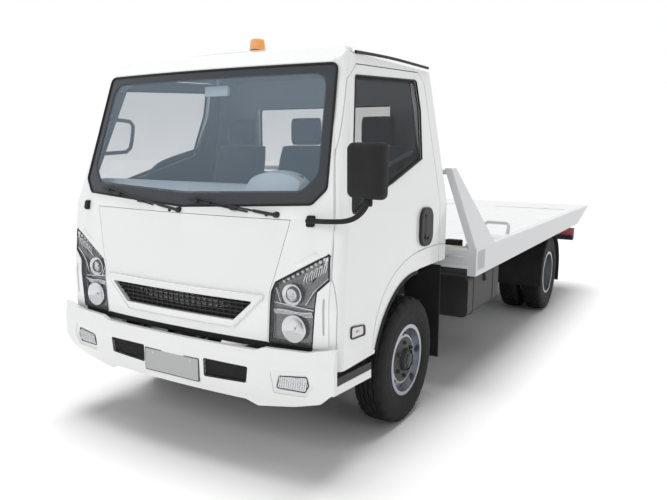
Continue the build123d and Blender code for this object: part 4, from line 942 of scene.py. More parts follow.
@dataclass
class Tyre:
    """Road tyre with grooves round it and slots across its shoulders."""

    segments: int = 168
    slot_pitch: int = 7
    slot_wide: int = 2
    zigzag: int = 3
    # offset along the axle, radius, how deep the slots cut there, shift of the zigzag
    rows: tuple[tuple[float, float, float, float], ...] = (
        (-0.076, 0.205, 0, 0), (-0.081, 0.214, 0, 0), (-0.083, 0.222, 0, 0), (-0.088, 0.236, 0, 0),
        (-0.0905, 0.242, 0, 0), (-0.0905, 0.247, 0, 0), (-0.0945, 0.256, 0, 0), (-0.0965, 0.275, 0, 0),
        (-0.098, 0.288, 0, 0), (-0.0975, 0.290, 0, 0), (-0.0975, 0.304, 0, 0), (-0.098, 0.306, 0, 0),
        (-0.0965, 0.325, 0, 0), (-0.0945, 0.341, 0, 0), (-0.0920, 0.352, 0.003, 0),
        (-0.0885, 0.364, 0.006, 0), (-0.0830, 0.374, 0.009, 0), (-0.0740, 0.3830, 0.010, 0),
        (-0.0560, 0.3858, 0.009, 0), (-0.0500, 0.3862, 0, 0.003), (-0.0490, 0.3780, 0, 0.003),
        (-0.0430, 0.3780, 0, 0.003), (-0.0420, 0.3868, 0, 0.003), (-0.0320, 0.3873, 0.005, 0),
        (-0.0200, 0.3876, 0, -0.003), (-0.0190, 0.3795, 0, -0.003), (-0.0130, 0.3795, 0, -0.003),
        (-0.0120, 0.3880, 0, -0.003), (0.0, 0.3885, 0.004, 0))

    def ring(self, number: int, centre: Vector, side: int) -> list[Vector]:
        """One cross-section of the tyre.

        Args:
            number: Which of the segments.
            centre: The wheel's centre.
            side: Which way the tyre's outside faces.

        Returns:
            Its points.
        """
        turn = tau * number / self.segments
        made = []
        mirror = [(-out, radius, cut, -shift) for out, radius, cut, shift in self.rows[-2::-1]]
        for out, radius, cut, shift in list(self.rows) + mirror:
            if (number + (self.zigzag if out > 0 else 0)) % self.slot_pitch < self.slot_wide:
                radius -= cut
            zig = shift * (1 if (number // self.zigzag) % 2 else -1)
            made.append(centre + Vector((side * (out + zig), cos(turn) * radius, sin(turn) * radius)))
        return made

    def build(self, name: str, body: str, middles: Sequence[float], y: float, node: str) -> None:
        """Builds the tyres of one wheel body.

        Args:
            name: Name of the piece.
            body: The body that it rides on.
            middles: X of each tyre's middle.
            y: The axle's place.
            node: The CAD node that it stands for.
        """
        shape = Shape(name)
        for middle in middles:
            centre = Vector((middle, y, AXLE_Z))
            rings = [self.ring(n, centre, 1 if middle > 0 else -1) for n in range(self.segments)]
            shape.loft(rings + [rings[0]], closed=False, caps=False)
        thing = shape.finish(body, "tyre", smooth=32)
        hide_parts(node)
        log.info("built %s", name)


@dataclass
class WheelTrim:
    """Wheel nuts, hub covers and valves of one side."""

    side: Side
    nut_ring: float = 0.105
    nuts: int = 6
    nut_r: float = 0.0135
    stud_r: float = 0.008
    front_disc: float = FRONT_TYRE_X + 0.062
    rear_disc: float = REAR_TYRES_X[1] - 0.110
    rear_cap: float = 0.9592

    def build(self) -> None:
        """Builds the trim of the front wheel and of the rear pair."""
        self.front()
        self.rear()

    def place(self, x: float, y: float) -> Vector:
        """A point on an axle's line, x metres out."""
        return Vector((self.side.value * x, y, AXLE_Z))

    def studs(self, shape: Shape, disc: Vector, reach: float) -> Vector:
        """Adds the wheel nuts and stud ends round a disc's middle, and gives the way out of the wheel."""
        out = Vector((self.side.value, 0, 0))
        for spot in around(disc, self.nut_ring, self.nuts, 0.5):
            shape.bolt(spot, out, self.nut_r)
            shape.rod(spot + out * 0.010, spot + out * reach, self.stud_r)
        return out

    def front(self) -> None:
        """Nuts, hub cover and valve of the front wheel."""
        centre = self.place(self.front_disc, FRONT_AXLE_Y)
        shape = Shape(f"front_nuts_{self.side.word}")
        out = self.studs(shape, centre, 0.022)
        shape.use(1)
        cap = centre + out * 0.0365
        shape.turned(((-0.0370, 0.139), (-0.0345, 0.138), (-0.0335, 0.130), (-0.0335, 0.094),
                      (-0.030, 0.088), (-0.028, 0.072), (-0.002, 0.066), (0.0, 0.062)), cap, out, 48,
                     caps=False)
        shape.turned(((0.0, 0.036), (0.004, 0.035), (0.006, 0.030), (0.006, 0.004)), cap, out, 32)
        for spot in around(cap, 0.043, 6):
            shape.bolt(spot, out, 0.0045)
        valve = centre - out * 0.012 + Vector((0, 0, 0.172))
        shape.use(2).rod(valve, valve + out * 0.03 + Vector((0, 0, -0.006)), 0.004)
        shape.finish(f"wheel_front_{self.side.word}", "hub_black", "hub_black", "soft_black")

    def rear(self) -> None:
        """Nuts and hub cover of the rear wheel pair."""
        shape = Shape(f"rear_nuts_{self.side.word}")
        out = self.studs(shape, self.place(self.rear_disc, REAR_AXLE_Y), 0.024)
        shape.use(1)
        cap = self.place(self.rear_cap, REAR_AXLE_Y)
        shape.turned(((-0.104, 0.086), (-0.096, 0.086), (-0.094, 0.062), (-0.012, 0.060), (-0.006, 0.060)),
                     cap, out, 48, caps=False)
        for spot in around(cap, 0.036, 8):
            shape.bolt(spot, out, 0.005)
        shape.finish(f"wheels_rear_{self.side.word}", "zinc", "hub_black")


@dataclass
class ScreenTrim:
    """Dark border and rubber seal of the windscreen."""

    corners: tuple[Flat, ...] = ((-0.816, 2.092), (0.816, 2.092), (0.868, 1.475), (0.800, 1.398),
                                 (0.0, 1.356), (-0.800, 1.398), (-0.868, 1.475))
    opening: tuple[Flat, ...] = ((-0.769, 2.050), (0.769, 2.050), (0.812, 1.545), (0.735, 1.452),
                                 (0.0, 1.424), (-0.735, 1.452), (-0.812, 1.545))
    rounding: float = 0.040

    def build(self) -> None:
        """Builds the border, the seal and the inside mirror."""
        outer, inner = paired(round_outline(self.corners, self.rounding, 8),
                              round_outline(self.opening, 0.090, 8), 0.06)
        outer_in = inset_outline(outer, 0.002)
        band = Shape("screen_border")
        band.loft([on_front(outer_in, -0.0024), on_front(inner, -0.0024)], caps=False)
        edge = inset_outline(inner, 0.010)
        band.loft([on_front(outer_in, -0.0095), on_front(edge, -0.0095)], caps=False)
        band.finish("cab", "frit_black")
        seal = Shape("screen_seal")
        line = on_front(outer, -0.0005)
        seal.loop(line, 0.0065)
        seal.finish("cab", "seal_black")
        self.inside_mirror()
        self.visors()

    def inside_mirror(self) -> None:
        """Rear-view mirror on a short stalk from the roof."""
        shape = Shape("cabin_mirror")
        top = Vector((-0.030, -2.52, 2.095))
        head = Vector((-0.005, -2.56, 1.988))
        shape.tube((top, top.lerp(head, 0.5), head), 0.006, 10)
        shape.box(head + Vector((-0.086, -0.012, -0.029)), head + Vector((0.086, 0.012, 0.029)), 0.010)
        shape.use(1).box(head + Vector((-0.079, 0.0115, -0.023)), head + Vector((0.079, 0.014, 0.023)), 0.001)
        shape.finish("cab", "dash_grey", "mirror_glass")

    def visors(self) -> None:
        """Folded sun visors under the roof's front edge."""
        shape = Shape("sun_visors")
        lean = Matrix.Rotation(radians(-72), 4, "X")
        for sign in (-1, 1):
            move = Matrix.Translation((sign * 0.40, -2.470, 2.105)) @ lean
            shape.box((-0.27, -0.008, -0.075), (0.27, 0.008, 0.075), 0.007, move)
            shape.box((-0.27, -0.012, 0.066), (0.27, 0.004, 0.082), 0.004, move)
        shape.finish("cab", "liner_grey")


@dataclass
class DoorTrim:
    """Rubber seals, inner trim, repeater lamp and lock of one door."""

    side: Side
    window: tuple[Flat, ...] = ((-2.735, 1.345), (-2.493, 2.040), (-1.703, 2.084), (-1.703, 1.900),
                                (-1.780, 1.612), (-2.250, 1.482))

    def lay(self, out: float) -> Callable[[float, float], Point]:
        """Gives a function that lays side-view points on the door."""
        return lambda y, z: (self.side.value * (side_x(z) + out), y, z)

    def build(self) -> None:
        """Builds the door's small pieces."""
        word = self.side.word
        body = f"door_{word}_body"
        sign = self.side.value
        place = self.lay(-0.001)
        outer, inner = paired(round_outline(self.window, 0.025, 6),
                              round_outline(inset_outline(self.window, 0.020), 0.018, 6), 0.08)
        seal = Shape(f"window_seal_{word}")
        line = [place(y, z) for y, z in outer]
        seal.loop(line, 0.0055)
        deep = self.lay(-0.0105)
        seal.loft([[deep(*p) for p in outer], [deep(*p) for p in inner]], caps=False)
        low, high = (-1.780, 1.612), (-2.250, 1.482)
        seal.tube([place(*low), place(*high)], 0.0075, 8)
        seal.finish(body, "seal_black")
        self.repeater(word, body, sign)
        self.inner_trim(word, body, sign)
        self.lock(word, body, sign)

    def repeater(self, word: str, body: str, sign: int) -> None:
        """Side repeater lamp: black rim, silver bowl and clear lens."""
        corners = ((-2.748, 0.778), (-2.735, 0.790), (-2.600, 0.770), (-2.594, 0.712), (-2.735, 0.722),
                   (-2.748, 0.732))
        rounded = round_outline(corners, 0.018, 5)
        ring, inner = paired(rounded, inset_outline(rounded, 0.006), 0.05)
        shape = Shape(f"side_lamp_{word}")
        x = sign * CAB_HALF_W
        shape.loft([[(x - sign * 0.002, y, z) for y, z in ring], [(x + sign * 0.007, y, z) for y, z in ring],
                    [(x + sign * 0.008, y, z) for y, z in inner], [(x, y, z) for y, z in inner]],
                   caps=False)
        shape.use(1)
        sheet_grid(shape, inner, lambda y, z: (x + sign * 0.002, y, z))

        def crowned(y: float, z: float) -> Point:
            """The lens, highest in its middle."""
            away = min(1.0, dist((y, z), (-2.67, 0.750)) / 0.06)
            return (x + sign * (0.0065 + 0.004 * (1 - away ** 2)), y, z)

        shape.use(2)
        sheet_grid(shape, inner, crowned)
        shape.use(3).rod((x + sign * 0.002, -2.69, 0.75), (x + sign * 0.0065, -2.665, 0.752), 0.004)
        shape.finish(body, "trim_black", "lamp_chrome", "clear_lens", "amber_lens")

    def inner_trim(self, word: str, body: str, sign: int) -> None:
        """Arm rest, pull bar and window crank on the cabin side."""
        shape = Shape(f"door_inner_{word}")
        x = sign * (side_x(1.2) - 0.052)
        shape.box((x, -2.42, 1.19), (x - sign * 0.055, -1.86, 1.235), 0.016)
        bar_x = sign * (side_x(1.5) - 0.085)
        shape.tube(((sign * (side_x(1.40) - 0.056), -2.36, 1.40), (bar_x, -2.32, 1.44),
                    (bar_x, -2.22, 1.545), (bar_x, -2.02, 1.60), (bar_x, -1.86, 1.635),
                    (sign * (side_x(1.64) - 0.056), -1.80, 1.645)), 0.015, 12, 2)
        shape.rod((x, -2.27, 1.09), (x - sign * 0.028, -2.27, 1.09), 0.020)
        shape.box((x - sign * 0.02, -2.282, 1.095), (x - sign * 0.034, -2.258, 1.20), 0.006)
        shape.finish(body, "dash_dark")

    def lock(self, word: str, body: str, sign: int) -> None:
        """Handle's flap and key lock over its recess."""
        low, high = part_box(f"handle_{word}")
        x = high.x if sign > 0 else low.x
        middle_y, middle_z = (low.y + high.y) / 2, (low.z + high.z) / 2
        shape = Shape(f"handle_flap_{word}")
        y_half = (high.y - low.y) * 0.30
        outline = [(middle_y + y_half * cos(t), middle_z + 0.012 + (high.z - low.z) * 0.33 * sin(t))
                   for t in (tau * n / 28 for n in range(28))]
        shape.loft([[(x - sign * 0.012, y, z) for y, z in outline],
                    [(x - sign * 0.003, y, z) for y, z in outline],
                    [(x - sign * 0.001, middle_y + (y - middle_y) * 0.86, middle_z + (z - middle_z) * 0.9)
                     for y, z in outline]])
        lock_z = low.z + (high.z - low.z) * 0.13
        shape.turned(((-0.008, 0.011), (0.0, 0.011), (0.001, 0.009), (0.001, 0.005)),
                     (x - sign * 0.0015, middle_y, lock_z), (sign, 0, 0), 20)
        shape.finish(body, "trim_black")


@dataclass
class Headlamp:
    """One headlamp: silver bowl, projector, indicator row and clear lens."""

    side: Side
    corners: tuple[Flat, ...] = ((0.597, 0.690), (0.611, 0.958), (0.632, 1.008), (0.652, 1.020),
                                 (0.929, 1.175), (0.929, 1.034), (0.868, 0.976), (0.846, 0.690))
    pocket_y: float = -2.8483
    upper: Flat = (0.722, 0.948)
    lower: Flat = (0.735, 0.775)
    tip_x: float = 0.652
    tip_slope: float = 0.561

    def lay(self, depth: float) -> Callable[[float, float], Point]:
        """Gives a function that lays front-view points at a depth behind the cab's front."""
        sign = self.side.value

        def placed(x: float, z: float) -> Point:
            """One point, drawn round the cab's corner where it is far out."""
            skin = front_y(x, z)
            y = min(skin + depth, max(self.pocket_y, skin) - 0.0015 + depth * 0.04)
            corner = max(0.0, x - 0.925)
            return (sign * (x - corner * 0.12), y + corner * corner * 7.0, z)

        return placed

    def bowl(self, shape: Shape, x: float, z: float, radius: float, depth: float) -> None:
        """Adds a round reflector bowl with its rim."""
        sign = self.side.value
        y = front_y(x, z)
        profile = [(-0.004, radius * 1.10), (0.0, radius * 1.05), (-0.001, radius)]
        for step in range(1, 7):
            share = 1 - step / 6.5
            profile.append((-depth * (1 - share ** 2), radius * share))
        shape.turned(profile, (sign * x, y + 0.010, z), (0, -1, 0), 40, caps=False)

    def build(self) -> None:
        """Builds the lamp and replaces the CAD lamps once."""
        word, sign = self.side.word, self.side.value
        rounded = round_outline(self.corners, 0.012, 3)
        outer, inner = paired(rounded, inset_outline(rounded, 0.009), 0.03)
        floor_in = inset_outline(inner, 0.005)
        shape = Shape(f"headlamp_{word}")
        skin, deep, lip = self.lay(0.0015), self.lay(0.031), self.lay(0.004)
        shape.loft([[skin(*p) for p in inset_outline(outer, 0.002)], [lip(*p) for p in inner],
                    [self.lay(0.024)(*p) for p in floor_in]], caps=False)
        shape.use(2)
        sheet_grid(shape, floor_in, deep)
        shape.use(1)
        self.bowl(shape, *self.upper, 0.052, 0.018)
        self.bowl(shape, *self.lower, 0.066, 0.018)
        self.ribs(shape)
        shape.use(2)
        lens_at = (sign * self.upper[0], front_y(*self.upper) + 0.010, self.upper[1])
        shape.turned(((-0.012, 0.036), (-0.002, 0.035), (0.001, 0.031)), lens_at, (0, -1, 0), 32,
                     caps=False)
        shape.use(3)
        dome = [(0.010 * cos(a) - 0.006, 0.031 * sin(a)) for a in (pi / 2 * n / 6 for n in range(6, 0, -1))]
        shape.turned(dome, lens_at, (0, -1, 0), 28)
        x, y, z = sign * self.lower[0], front_y(*self.lower), self.lower[1]
        shape.rod((x, y + 0.026, z), (x, y + 0.008, z), 0.011)
        shape.use(4)
        for count, start, pitch, foot, radius in ((10, 0.672, 0.025, 1.001, 0.0085),
                                                  (5, 0.800, 0.026, 0.975, 0.0065)):
            for number in range(count):
                x = start + number * pitch
                self.dot(shape, x, foot + (x - self.tip_x) * self.tip_slope, radius)
        thing = shape.finish("cab", "seal_black", "lamp_chrome", "lamp_dark", "clear_lens", "marker_lens",
                             smooth=40)
        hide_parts("headlamps")
        glass = Shape(f"headlamp_lens_{word}")
        sheet_grid(glass, inner, self.lay(0.0035))
        glass.finish("cab", "clear_lens", smooth=60)
        log.info("built headlamp %s", word)

    def dot(self, shape: Shape, x: float, z: float, radius: float) -> None:
        """Adds a small lit facet of the indicator row."""
        place = self.lay(0.020)(x, z)
        shape.turned(((0.0, radius), (0.006, radius * 0.8), (0.009, radius * 0.35)), place, (0, -1, 0), 10)

    def ribs(self, shape: Shape) -> None:
        """Adds the stepped ribs between the bowls and at the outer tip."""
        for number in range(4):
            z = 0.866 - number * 0.007
            line = [self.lay(0.014 + number * 0.003)(0.622 + k * 0.0215, z + 0.004 * sin(k * 0.7))
                    for k in range(11)]
            shape.tube(line, 0.0028, 6)
        for x in evenly(0.778, 0.0135, 10):
            z = 0.935 + (x - self.tip_x) * self.tip_slope
            shape.tube([self.lay(0.026)(x, z), self.lay(0.016)(x + 0.006, z + 0.022),
                        self.lay(0.024)(x + 0.012, z + 0.050)], 0.0024, 6)
        for start, end in (((0.615, 0.905), (0.850, 0.880)), ((0.625, 0.985), (0.660, 0.905)),
                           ((0.800, 0.905), (0.842, 0.975)), ((0.842, 0.975), (0.920, 1.048))):
            place = self.lay(0.018)
            shape.tube([place(start[0] + (end[0] - start[0]) * k / 6, start[1] + (end[1] - start[1]) * k / 6)
                        for k in range(7)], 0.0035, 8)


@dataclass
class FrontTrim:
    """Grille mesh, bumper inserts, plate, fog lamps and the swages of the cab's front."""

    grille_back: tuple[Flat, ...] = ((-0.520, 0.898), (0.520, 0.898), (0.393, 0.786), (-0.393, 0.786))
    lip_outer: tuple[Flat, ...] = ((-0.583, 0.933), (0.583, 0.933), (0.384, 0.744), (-0.384, 0.744))
    lip_inner: tuple[Flat, ...] = ((-0.522, 0.900), (0.522, 0.900), (0.394, 0.784), (-0.394, 0.784))
    slot: tuple[Flat, ...] = ((0.223, 0.563), (0.505, 0.560), (0.493, 0.477), (0.226, 0.467))
    fog_rim: tuple[Flat, ...] = ((0.640, 0.560), (0.860, 0.590), (0.885, 0.520), (0.840, 0.455),
                                 (0.660, 0.450))
    fog_cup: tuple[Flat, ...] = ((0.690, 0.540), (0.842, 0.556), (0.852, 0.512), (0.832, 0.476),
                                 (0.672, 0.476))
    swage_base: tuple[Flat, ...] = ((0.735, 1.105), (0.770, 1.088), (0.872, 1.150), (0.850, 1.176))
    swage_top: tuple[Flat, ...] = ((0.750, 1.108), (0.776, 1.098), (0.858, 1.150), (0.845, 1.166))
    bumper_rows: tuple[Flat, ...] = ((0.340, 0.030), (0.385, 0.022), (0.450, 0.004), (0.600, 0.0),
                                     (0.725, 0.014))
    grille_pitch: float = 0.0155
    slot_pitch: float = 0.0150
    groove_x: float = 0.905
    # span and heights of the black sheet of painted shade in the bumper gap
    strip_half: float = 0.915
    strip_z: Flat = (0.656, 0.700)

    def build(self) -> None:
        """Builds all the small pieces of the cab's front and the bumper."""
        self.grille()
        self.bumper_inserts()
        self.plate()
        for side in Side:
            self.fog_lamp(side)
            self.corner_slot(side)
            self.pillar_swage(side)
        self.parting_strip()

    def comb(self, start: Flat, pitch: float, rows: int, columns: int) -> Iterable[Flat]:
        """Gives the middles of a comb's openings, row by row from its start."""
        for row in range(rows):
            for column in range(columns):
                yield start[0] + column * pitch + (row % 2) * pitch / 2, start[1] + row * pitch * 0.93

    def grille(self) -> None:
        """Dark mesh behind the grille bars on a backing sheet whose openings are painted shade, with a raised
        lip round it.
        """
        shape = Shape("grille_back")
        back = dense(round_outline(self.grille_back, 0.010, 4), 0.05)
        shape.slab(on_front(back, -0.0175), (0, 0.003, 0))
        shape.use(1)
        for x, z in self.comb((-0.53, 0.790), self.grille_pitch, 8, 70):
            limit = 0.393 + (z - 0.786) / 0.112 * 0.127 - 0.008
            if abs(x) <= limit and z <= 0.894:
                shape.mesh_cell((x, front_y(x, z) + 0.0125, z), 0.0068, 0.0005)
        shape.finish("cab", "grille_mesh", "trim_black")
        lip = Shape("grille_lip")
        for corners, rounding, out in ((self.lip_outer, 0.012, 0.0138), (self.lip_inner, 0.008, 0.0125)):
            lip.loop(on_front(dense(round_outline(corners, rounding, 5), 0.05), out), 0.003)
        lip.finish("cab", "cab_white")

    def bumper_y(self, x: float, z: float) -> float:
        """Place of the bumper's face."""
        rows = self.bumper_rows
        lean = rows[-1][1]
        for (low, here), (high, after) in zip(rows, rows[1:]):
            if z <= high:
                lean = here + (after - here) * (z - low) / (high - low)
                break
        radius = BEND_R + 0.053 - lean
        return BEND_AXIS_Y - sqrt(radius ** 2 - x ** 2)

    def bumper_inserts(self) -> None:
        """Black mesh inside the bumper's two slots on a backing sheet whose openings are painted shade, with
        a rim round each.
        """
        shape = Shape("bumper_mesh")
        outline = dense(round_outline(self.slot, 0.008, 4), 0.05)
        for sign in (-1, 1):
            back = [(sign * x, self.bumper_y(x, z) + 0.0130, z) for x, z in outline]
            shape.use(0).slab(back, (0, 0.003, 0))
            shape.use(1)
            for x, z in self.comb((0.232, 0.476), self.slot_pitch, 7, 22):
                if x <= 0.488 + (z - 0.477) * 0.12 and z <= 0.558:
                    shape.mesh_cell((sign * x, self.bumper_y(x, z) + 0.0075, z), 0.0066, 0.0)
            shape.loop([(sign * x, self.bumper_y(x, 0.5) + 0.001, z) for x, z in outline], 0.0035)
        shape.finish("chassis", "grille_mesh", "trim_black")

    def plate(self) -> None:
        """Blank number plate on its carrier, with two screws."""
        y = FRONT_END_Y
        shape = Shape("number_plate")
        carrier = rectangle((-0.212, 0.424), (0.192, 0.555), 0.008, 4)
        shape.slab([(x, y + 0.006, z) for x, z in carrier], (0, -0.004, 0))
        shape.use(1)
        face = rectangle((-0.207, 0.429), (0.187, 0.550), 0.006, 4)
        shape.slab([(x, y + 0.0024, z) for x, z in face], (0, -0.0018, 0))
        shape.loop([(x, y + 0.0012, z) for x, z in inset_outline(face, 0.003)], 0.0010, 6)
        shape.use(2)
        screw = ((0.0, 0.006), (0.002, 0.0055), (0.003, 0.003))
        for x in (-0.15, 0.13):
            shape.turned(screw, (x, y + 0.003, 0.532), (0, -1, 0), 14)
        shape.finish("chassis", "trim_black", "plate_grey", "zinc")

    def fog_lamp(self, side: Side) -> None:
        """Fog lamp in its recess: fluted bowl, lens and a black ring of painted shade round the bowl."""
        rim, cup = paired(round_outline(self.fog_rim, 0.010, 4), round_outline(self.fog_cup, 0.010, 4), 0.03)
        back = inset_outline(cup, 0.004)

        def lay(depth: float) -> Lay:
            """Lays points at a depth behind the bumper's face."""
            return lambda x, z: (side.value * x, self.bumper_y(x, z) + depth, z)

        shape = Shape(f"fog_lamp_{side.word}")
        shape.loft([[lay(0.002)(*p) for p in inset_outline(rim, 0.001)], [lay(0.010)(*p) for p in cup]],
                   caps=False)
        shape.use(1)
        shape.loft([[lay(0.010)(*p) for p in cup], [lay(0.0112)(*p) for p in back]], caps=False)
        for x in evenly(0.690, 0.0125, 13):
            shape.tube([lay(0.0095)(x - 0.004, 0.483), lay(0.0075)(x, 0.512), lay(0.0095)(x + 0.003, 0.545)],
                       0.0034, 8)
        shape.use(2)
        sheet_grid(shape, back, lay(0.0035))
        # black ring at the foot of the recess: painted shade where the recess wall meets the bowl
        shape.use(3).loop([lay(0.0085)(*p) for p in cup], 0.0030, 6)
        thing = shape.finish("chassis", "bumper_white", "lamp_chrome", "clear_lens", "seal_black",
                             smooth=40)

    def corner_slot(self, side: Side) -> None:
        """Grey strip laid on the panel outside the headlamp: painted shade standing for an upright sunk
        groove.
        """
        shape = Shape(f"corner_groove_{side.word}")
        steps = 14
        points = []
        for step in range(steps + 1):
            z = 0.765 + 0.185 * step / steps
            half = 0.0030 if step in (0, steps) else 0.0050
            for x in (self.groove_x - half, self.groove_x + half):
                lean = max(0.0, NOSE_Z - z) * 0.0195
                points.append((side.value * x, front_y(x, z) + lean - 0.0006, z))
        shape.add(points, [(2 * k, 2 * k + 1, 2 * k + 3, 2 * k + 2) for k in range(steps)])
        shape.finish("cab", "groove_grey")

    def pillar_swage(self, side: Side) -> None:
        """Raised wedge on the panel over the headlamp's tip."""
        shape = Shape(f"pillar_swage_{side.word}")
        shape.loft([[(side.value * x, front_y(x, z) - out, z) for x, z in round_outline(outline, 0.008, 4)]
                    for outline, out in ((self.swage_base, 0.0002), (self.swage_top, 0.006))])
        shape.finish("cab", "cab_white", smooth=50)

    def parting_strip(self) -> None:
        """Black sheet in the gap over the bumper: painted shade standing for the gap's shadow."""
        shape = Shape("bumper_gap_strip")
        across = [self.strip_half * (step / 16 - 1) for step in range(33)]
        outer = [(x, self.bumper_y(x, 0.70) + 0.056) for x in across]
        low, high = self.strip_z
        shape.slab([(x, y, low) for x, y in outer] + [(x, y, high) for x, y in reversed(outer)],
                   (0, 0.004, 0))
        shape.finish("cab", "soft_black")


@dataclass
class CabFittings:
    """Wipers, mirrors, roof lamps, drip strips, steps and rear wall details."""

    mirror_y: float = FRONT_AXLE_Y - 0.915
    mirror_middle: Flat = (1.143, 1.570)
    beacon_y: float = FRONT_AXLE_Y - 0.220
    marker: Flat = (0.804, FRONT_AXLE_Y - 0.521)
    arch_r: float = 0.546

    def build(self) -> None:
        """Builds the pieces outside the cab."""
        self.wipers()
        self.mirror()
        self.roof_lamps()
        self.drip_strips()
        self.arch_trim()
        self.step_treads()
        self.rear_wall()

    def wipers(self) -> None:
        """Two wiper arms with their blades and the washer nozzles."""
        shape = Shape("wiper_set")
        for pivot_x, pivot_z, tip_x, tip_z in ((-0.010, 1.336, -0.690, 1.440), (0.620, 1.342, 0.045, 1.410)):
            foot = Vector((pivot_x, front_y(pivot_x, pivot_z), pivot_z))
            shape.turned(((-0.002, 0.016), (0.010, 0.015), (0.022, 0.013), (0.026, 0.008)), foot,
                         (0, -1, 0), 20)
            tip = Vector((tip_x, front_y(tip_x, tip_z) - 0.014, tip_z))
            knee = foot + (tip - foot) * 0.22 + Vector((0, -0.020, 0.0))
            knee.y = front_y(knee.x, knee.z) - 0.022
            middle = foot.lerp(tip, 0.55)
            middle.y = front_y(middle.x, middle.z) - 0.022
            root = foot + Vector((0, -0.018, 0))
            shape.tube((root, knee), 0.0085, 10)
            shape.tube((knee, middle, tip + Vector((0.05, -0.006, 0))), 0.0052, 8, 1)
            along = (tip - foot).normalized()
            blade = [foot + along * ((tip - foot).length * share) for share in
                     (0.30, 0.45, 0.60, 0.75, 0.90, 1.0)]
            for point in blade:
                point.y = front_y(point.x, point.z - 0.014) - 0.009
                point.z -= 0.014
            shape.tube(blade, 0.0048, 6)
            under = [Vector((p.x, p.y + 0.0065, p.z)) for p in blade]
            shape.tube(under, 0.0028, 6)
            for share in (1, 3, 4):
                p = blade[share]
                shape.box(p + Vector((-0.02, -0.010, -0.007)), p + Vector((0.02, 0.002, 0.010)), 0.003)
        for x, z in ((-0.08, 1.330), (0.56, 1.339)):
            y = front_y(x, z)
            shape.turned(((-0.001, 0.009), (0.007, 0.008), (0.010, 0.004)), (x, y, z), (0, -1, 0), 14)
        thing = shape.finish("cab", "trim_black")
        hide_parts("wipers")

    def mirror(self) -> None:
        """Door mirror on its bent arm, and the plain mount on the other side."""
        y = self.mirror_y
        shape = Shape("door_mirror")
        shape.tube(((0.812, y, 1.325), (0.93, y - 0.004, 1.328), (1.045, y, 1.336), (1.110, y, 1.375),
                    (1.143, y, 1.425), (1.143, y, 1.47)), 0.0125, 14, 2)
        outline = rectangle((0.792, 1.292), (0.834, 1.347), 0.010, 4)
        for sign in (1, -1):
            shape.loft([[(sign * (0.813 + (x - 0.813) * shrink), front_y(x, z) + depth,
                          1.32 + (z - 1.32) * shrink) for x, z in outline]
                        for depth, shrink in ((0.0, 1.0), (-0.012, 1.0), (-0.018, 0.8))])
        shape.turned(((-0.016, 0.020), (0.0, 0.022), (0.020, 0.019), (0.026, 0.014)), (1.143, y, 1.428),
                     (0, 0, 1), 20)
        corners = ((1.050, 1.448), (1.236, 1.442), (1.236, 1.690), (1.220, 1.698), (1.062, 1.698),
                   (1.048, 1.684))
        outline = round_outline(corners, 0.030, 6)
        middle = self.mirror_middle
        rows = ((-0.054, 0.55), (-0.052, 0.78), (-0.040, 0.93), (-0.020, 0.99), (0.004, 1.0),
                (0.016, 0.98), (0.017, 0.95), (0.010, 0.93))
        shape.domed(outline, middle, rows, lambda x, z, depth: (x, y + depth, z))

        def bulged(x: float, z: float) -> Point:
            """The mirror's face, a little fuller in its middle."""
            return (x, y + 0.0145 - 0.15 * ((x - middle[0]) ** 2 + (z - middle[1]) ** 2), z)

        shape.use(1)
        glass = [(middle[0] + (x - middle[0]) * 0.92, middle[1] + (z - middle[1]) * 0.94) for x, z in outline]
        sheet_grid(shape, [(x, max(z, 1.520)) for x, z in glass], bulged)
        sheet_grid(shape, [(x, min(z, 1.512)) for x, z in glass], bulged)
        thing = shape.finish("cab", "soft_black", "mirror_glass", smooth=42)
        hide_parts("mirrors")

    def roof_lamps(self) -> None:
        """Amber beacon on the roof and two clear marker lamps at its front corners."""
        foot = (0, self.beacon_y, ROOF_Z)
        shape = Shape("roof_beacon")
        shape.turned(((-0.006, 0.056), (0.006, 0.056), (0.014, 0.052), (0.018, 0.046)), foot, (0, 0, 1), 40)
        shape.use(1)
        profile = [(0.018, 0.0475), (0.022, 0.0495)]
        for number in range(9):
            high = 0.026 + number * 0.0055
            profile.append((high, 0.0485 - number * 0.0006))
            profile.append((high + 0.0027, 0.0465 - number * 0.0006))
        profile.extend(((0.078, 0.0415), (0.083, 0.034), (0.0848, 0.018), (0.0848, 0.004)))
        shape.turned(profile, foot, (0, 0, 1), 40)
        thing = shape.finish("cab", "trim_black", "amber_lens", smooth=50)
        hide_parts("roof_lamps")
        marker = Shape("marker_lamps")
        turns = [tau * n / 24 for n in range(24)]
        for sign in (1, -1):
            x, y = sign * self.marker[0], self.marker[1]
            marker.use(1).box((x - 0.034, y - 0.024, 2.146), (x + 0.032, y + 0.024, 2.160), 0.005)
            marker.use(0)
            marker.loft([[(x + half * cos(a) * 1.05, y + half * 0.75 * sin(a), high) for a in turns]
                         for high, half in ((2.158, 0.029), (2.172, 0.028), (2.182, 0.022), (2.187, 0.010))])
        marker.finish("cab", "marker_lens", "trim_black", smooth=50)

    def drip_strips(self) -> None:
        """Black drip strips along the roof's sides."""
        shape = Shape("drip_strips")
        for sign in (1, -1):
            line = []
            for step in range(17):
                y = FRONT_AXLE_Y - 0.50 + step * 0.060
                line.append((sign * 0.8425, y, 2.161 + 0.018 * sin(min(1.0, step / 10) * pi / 2)))
            shape.tube(line, 0.0085, 8)
        shape.finish("cab", "seal_black")

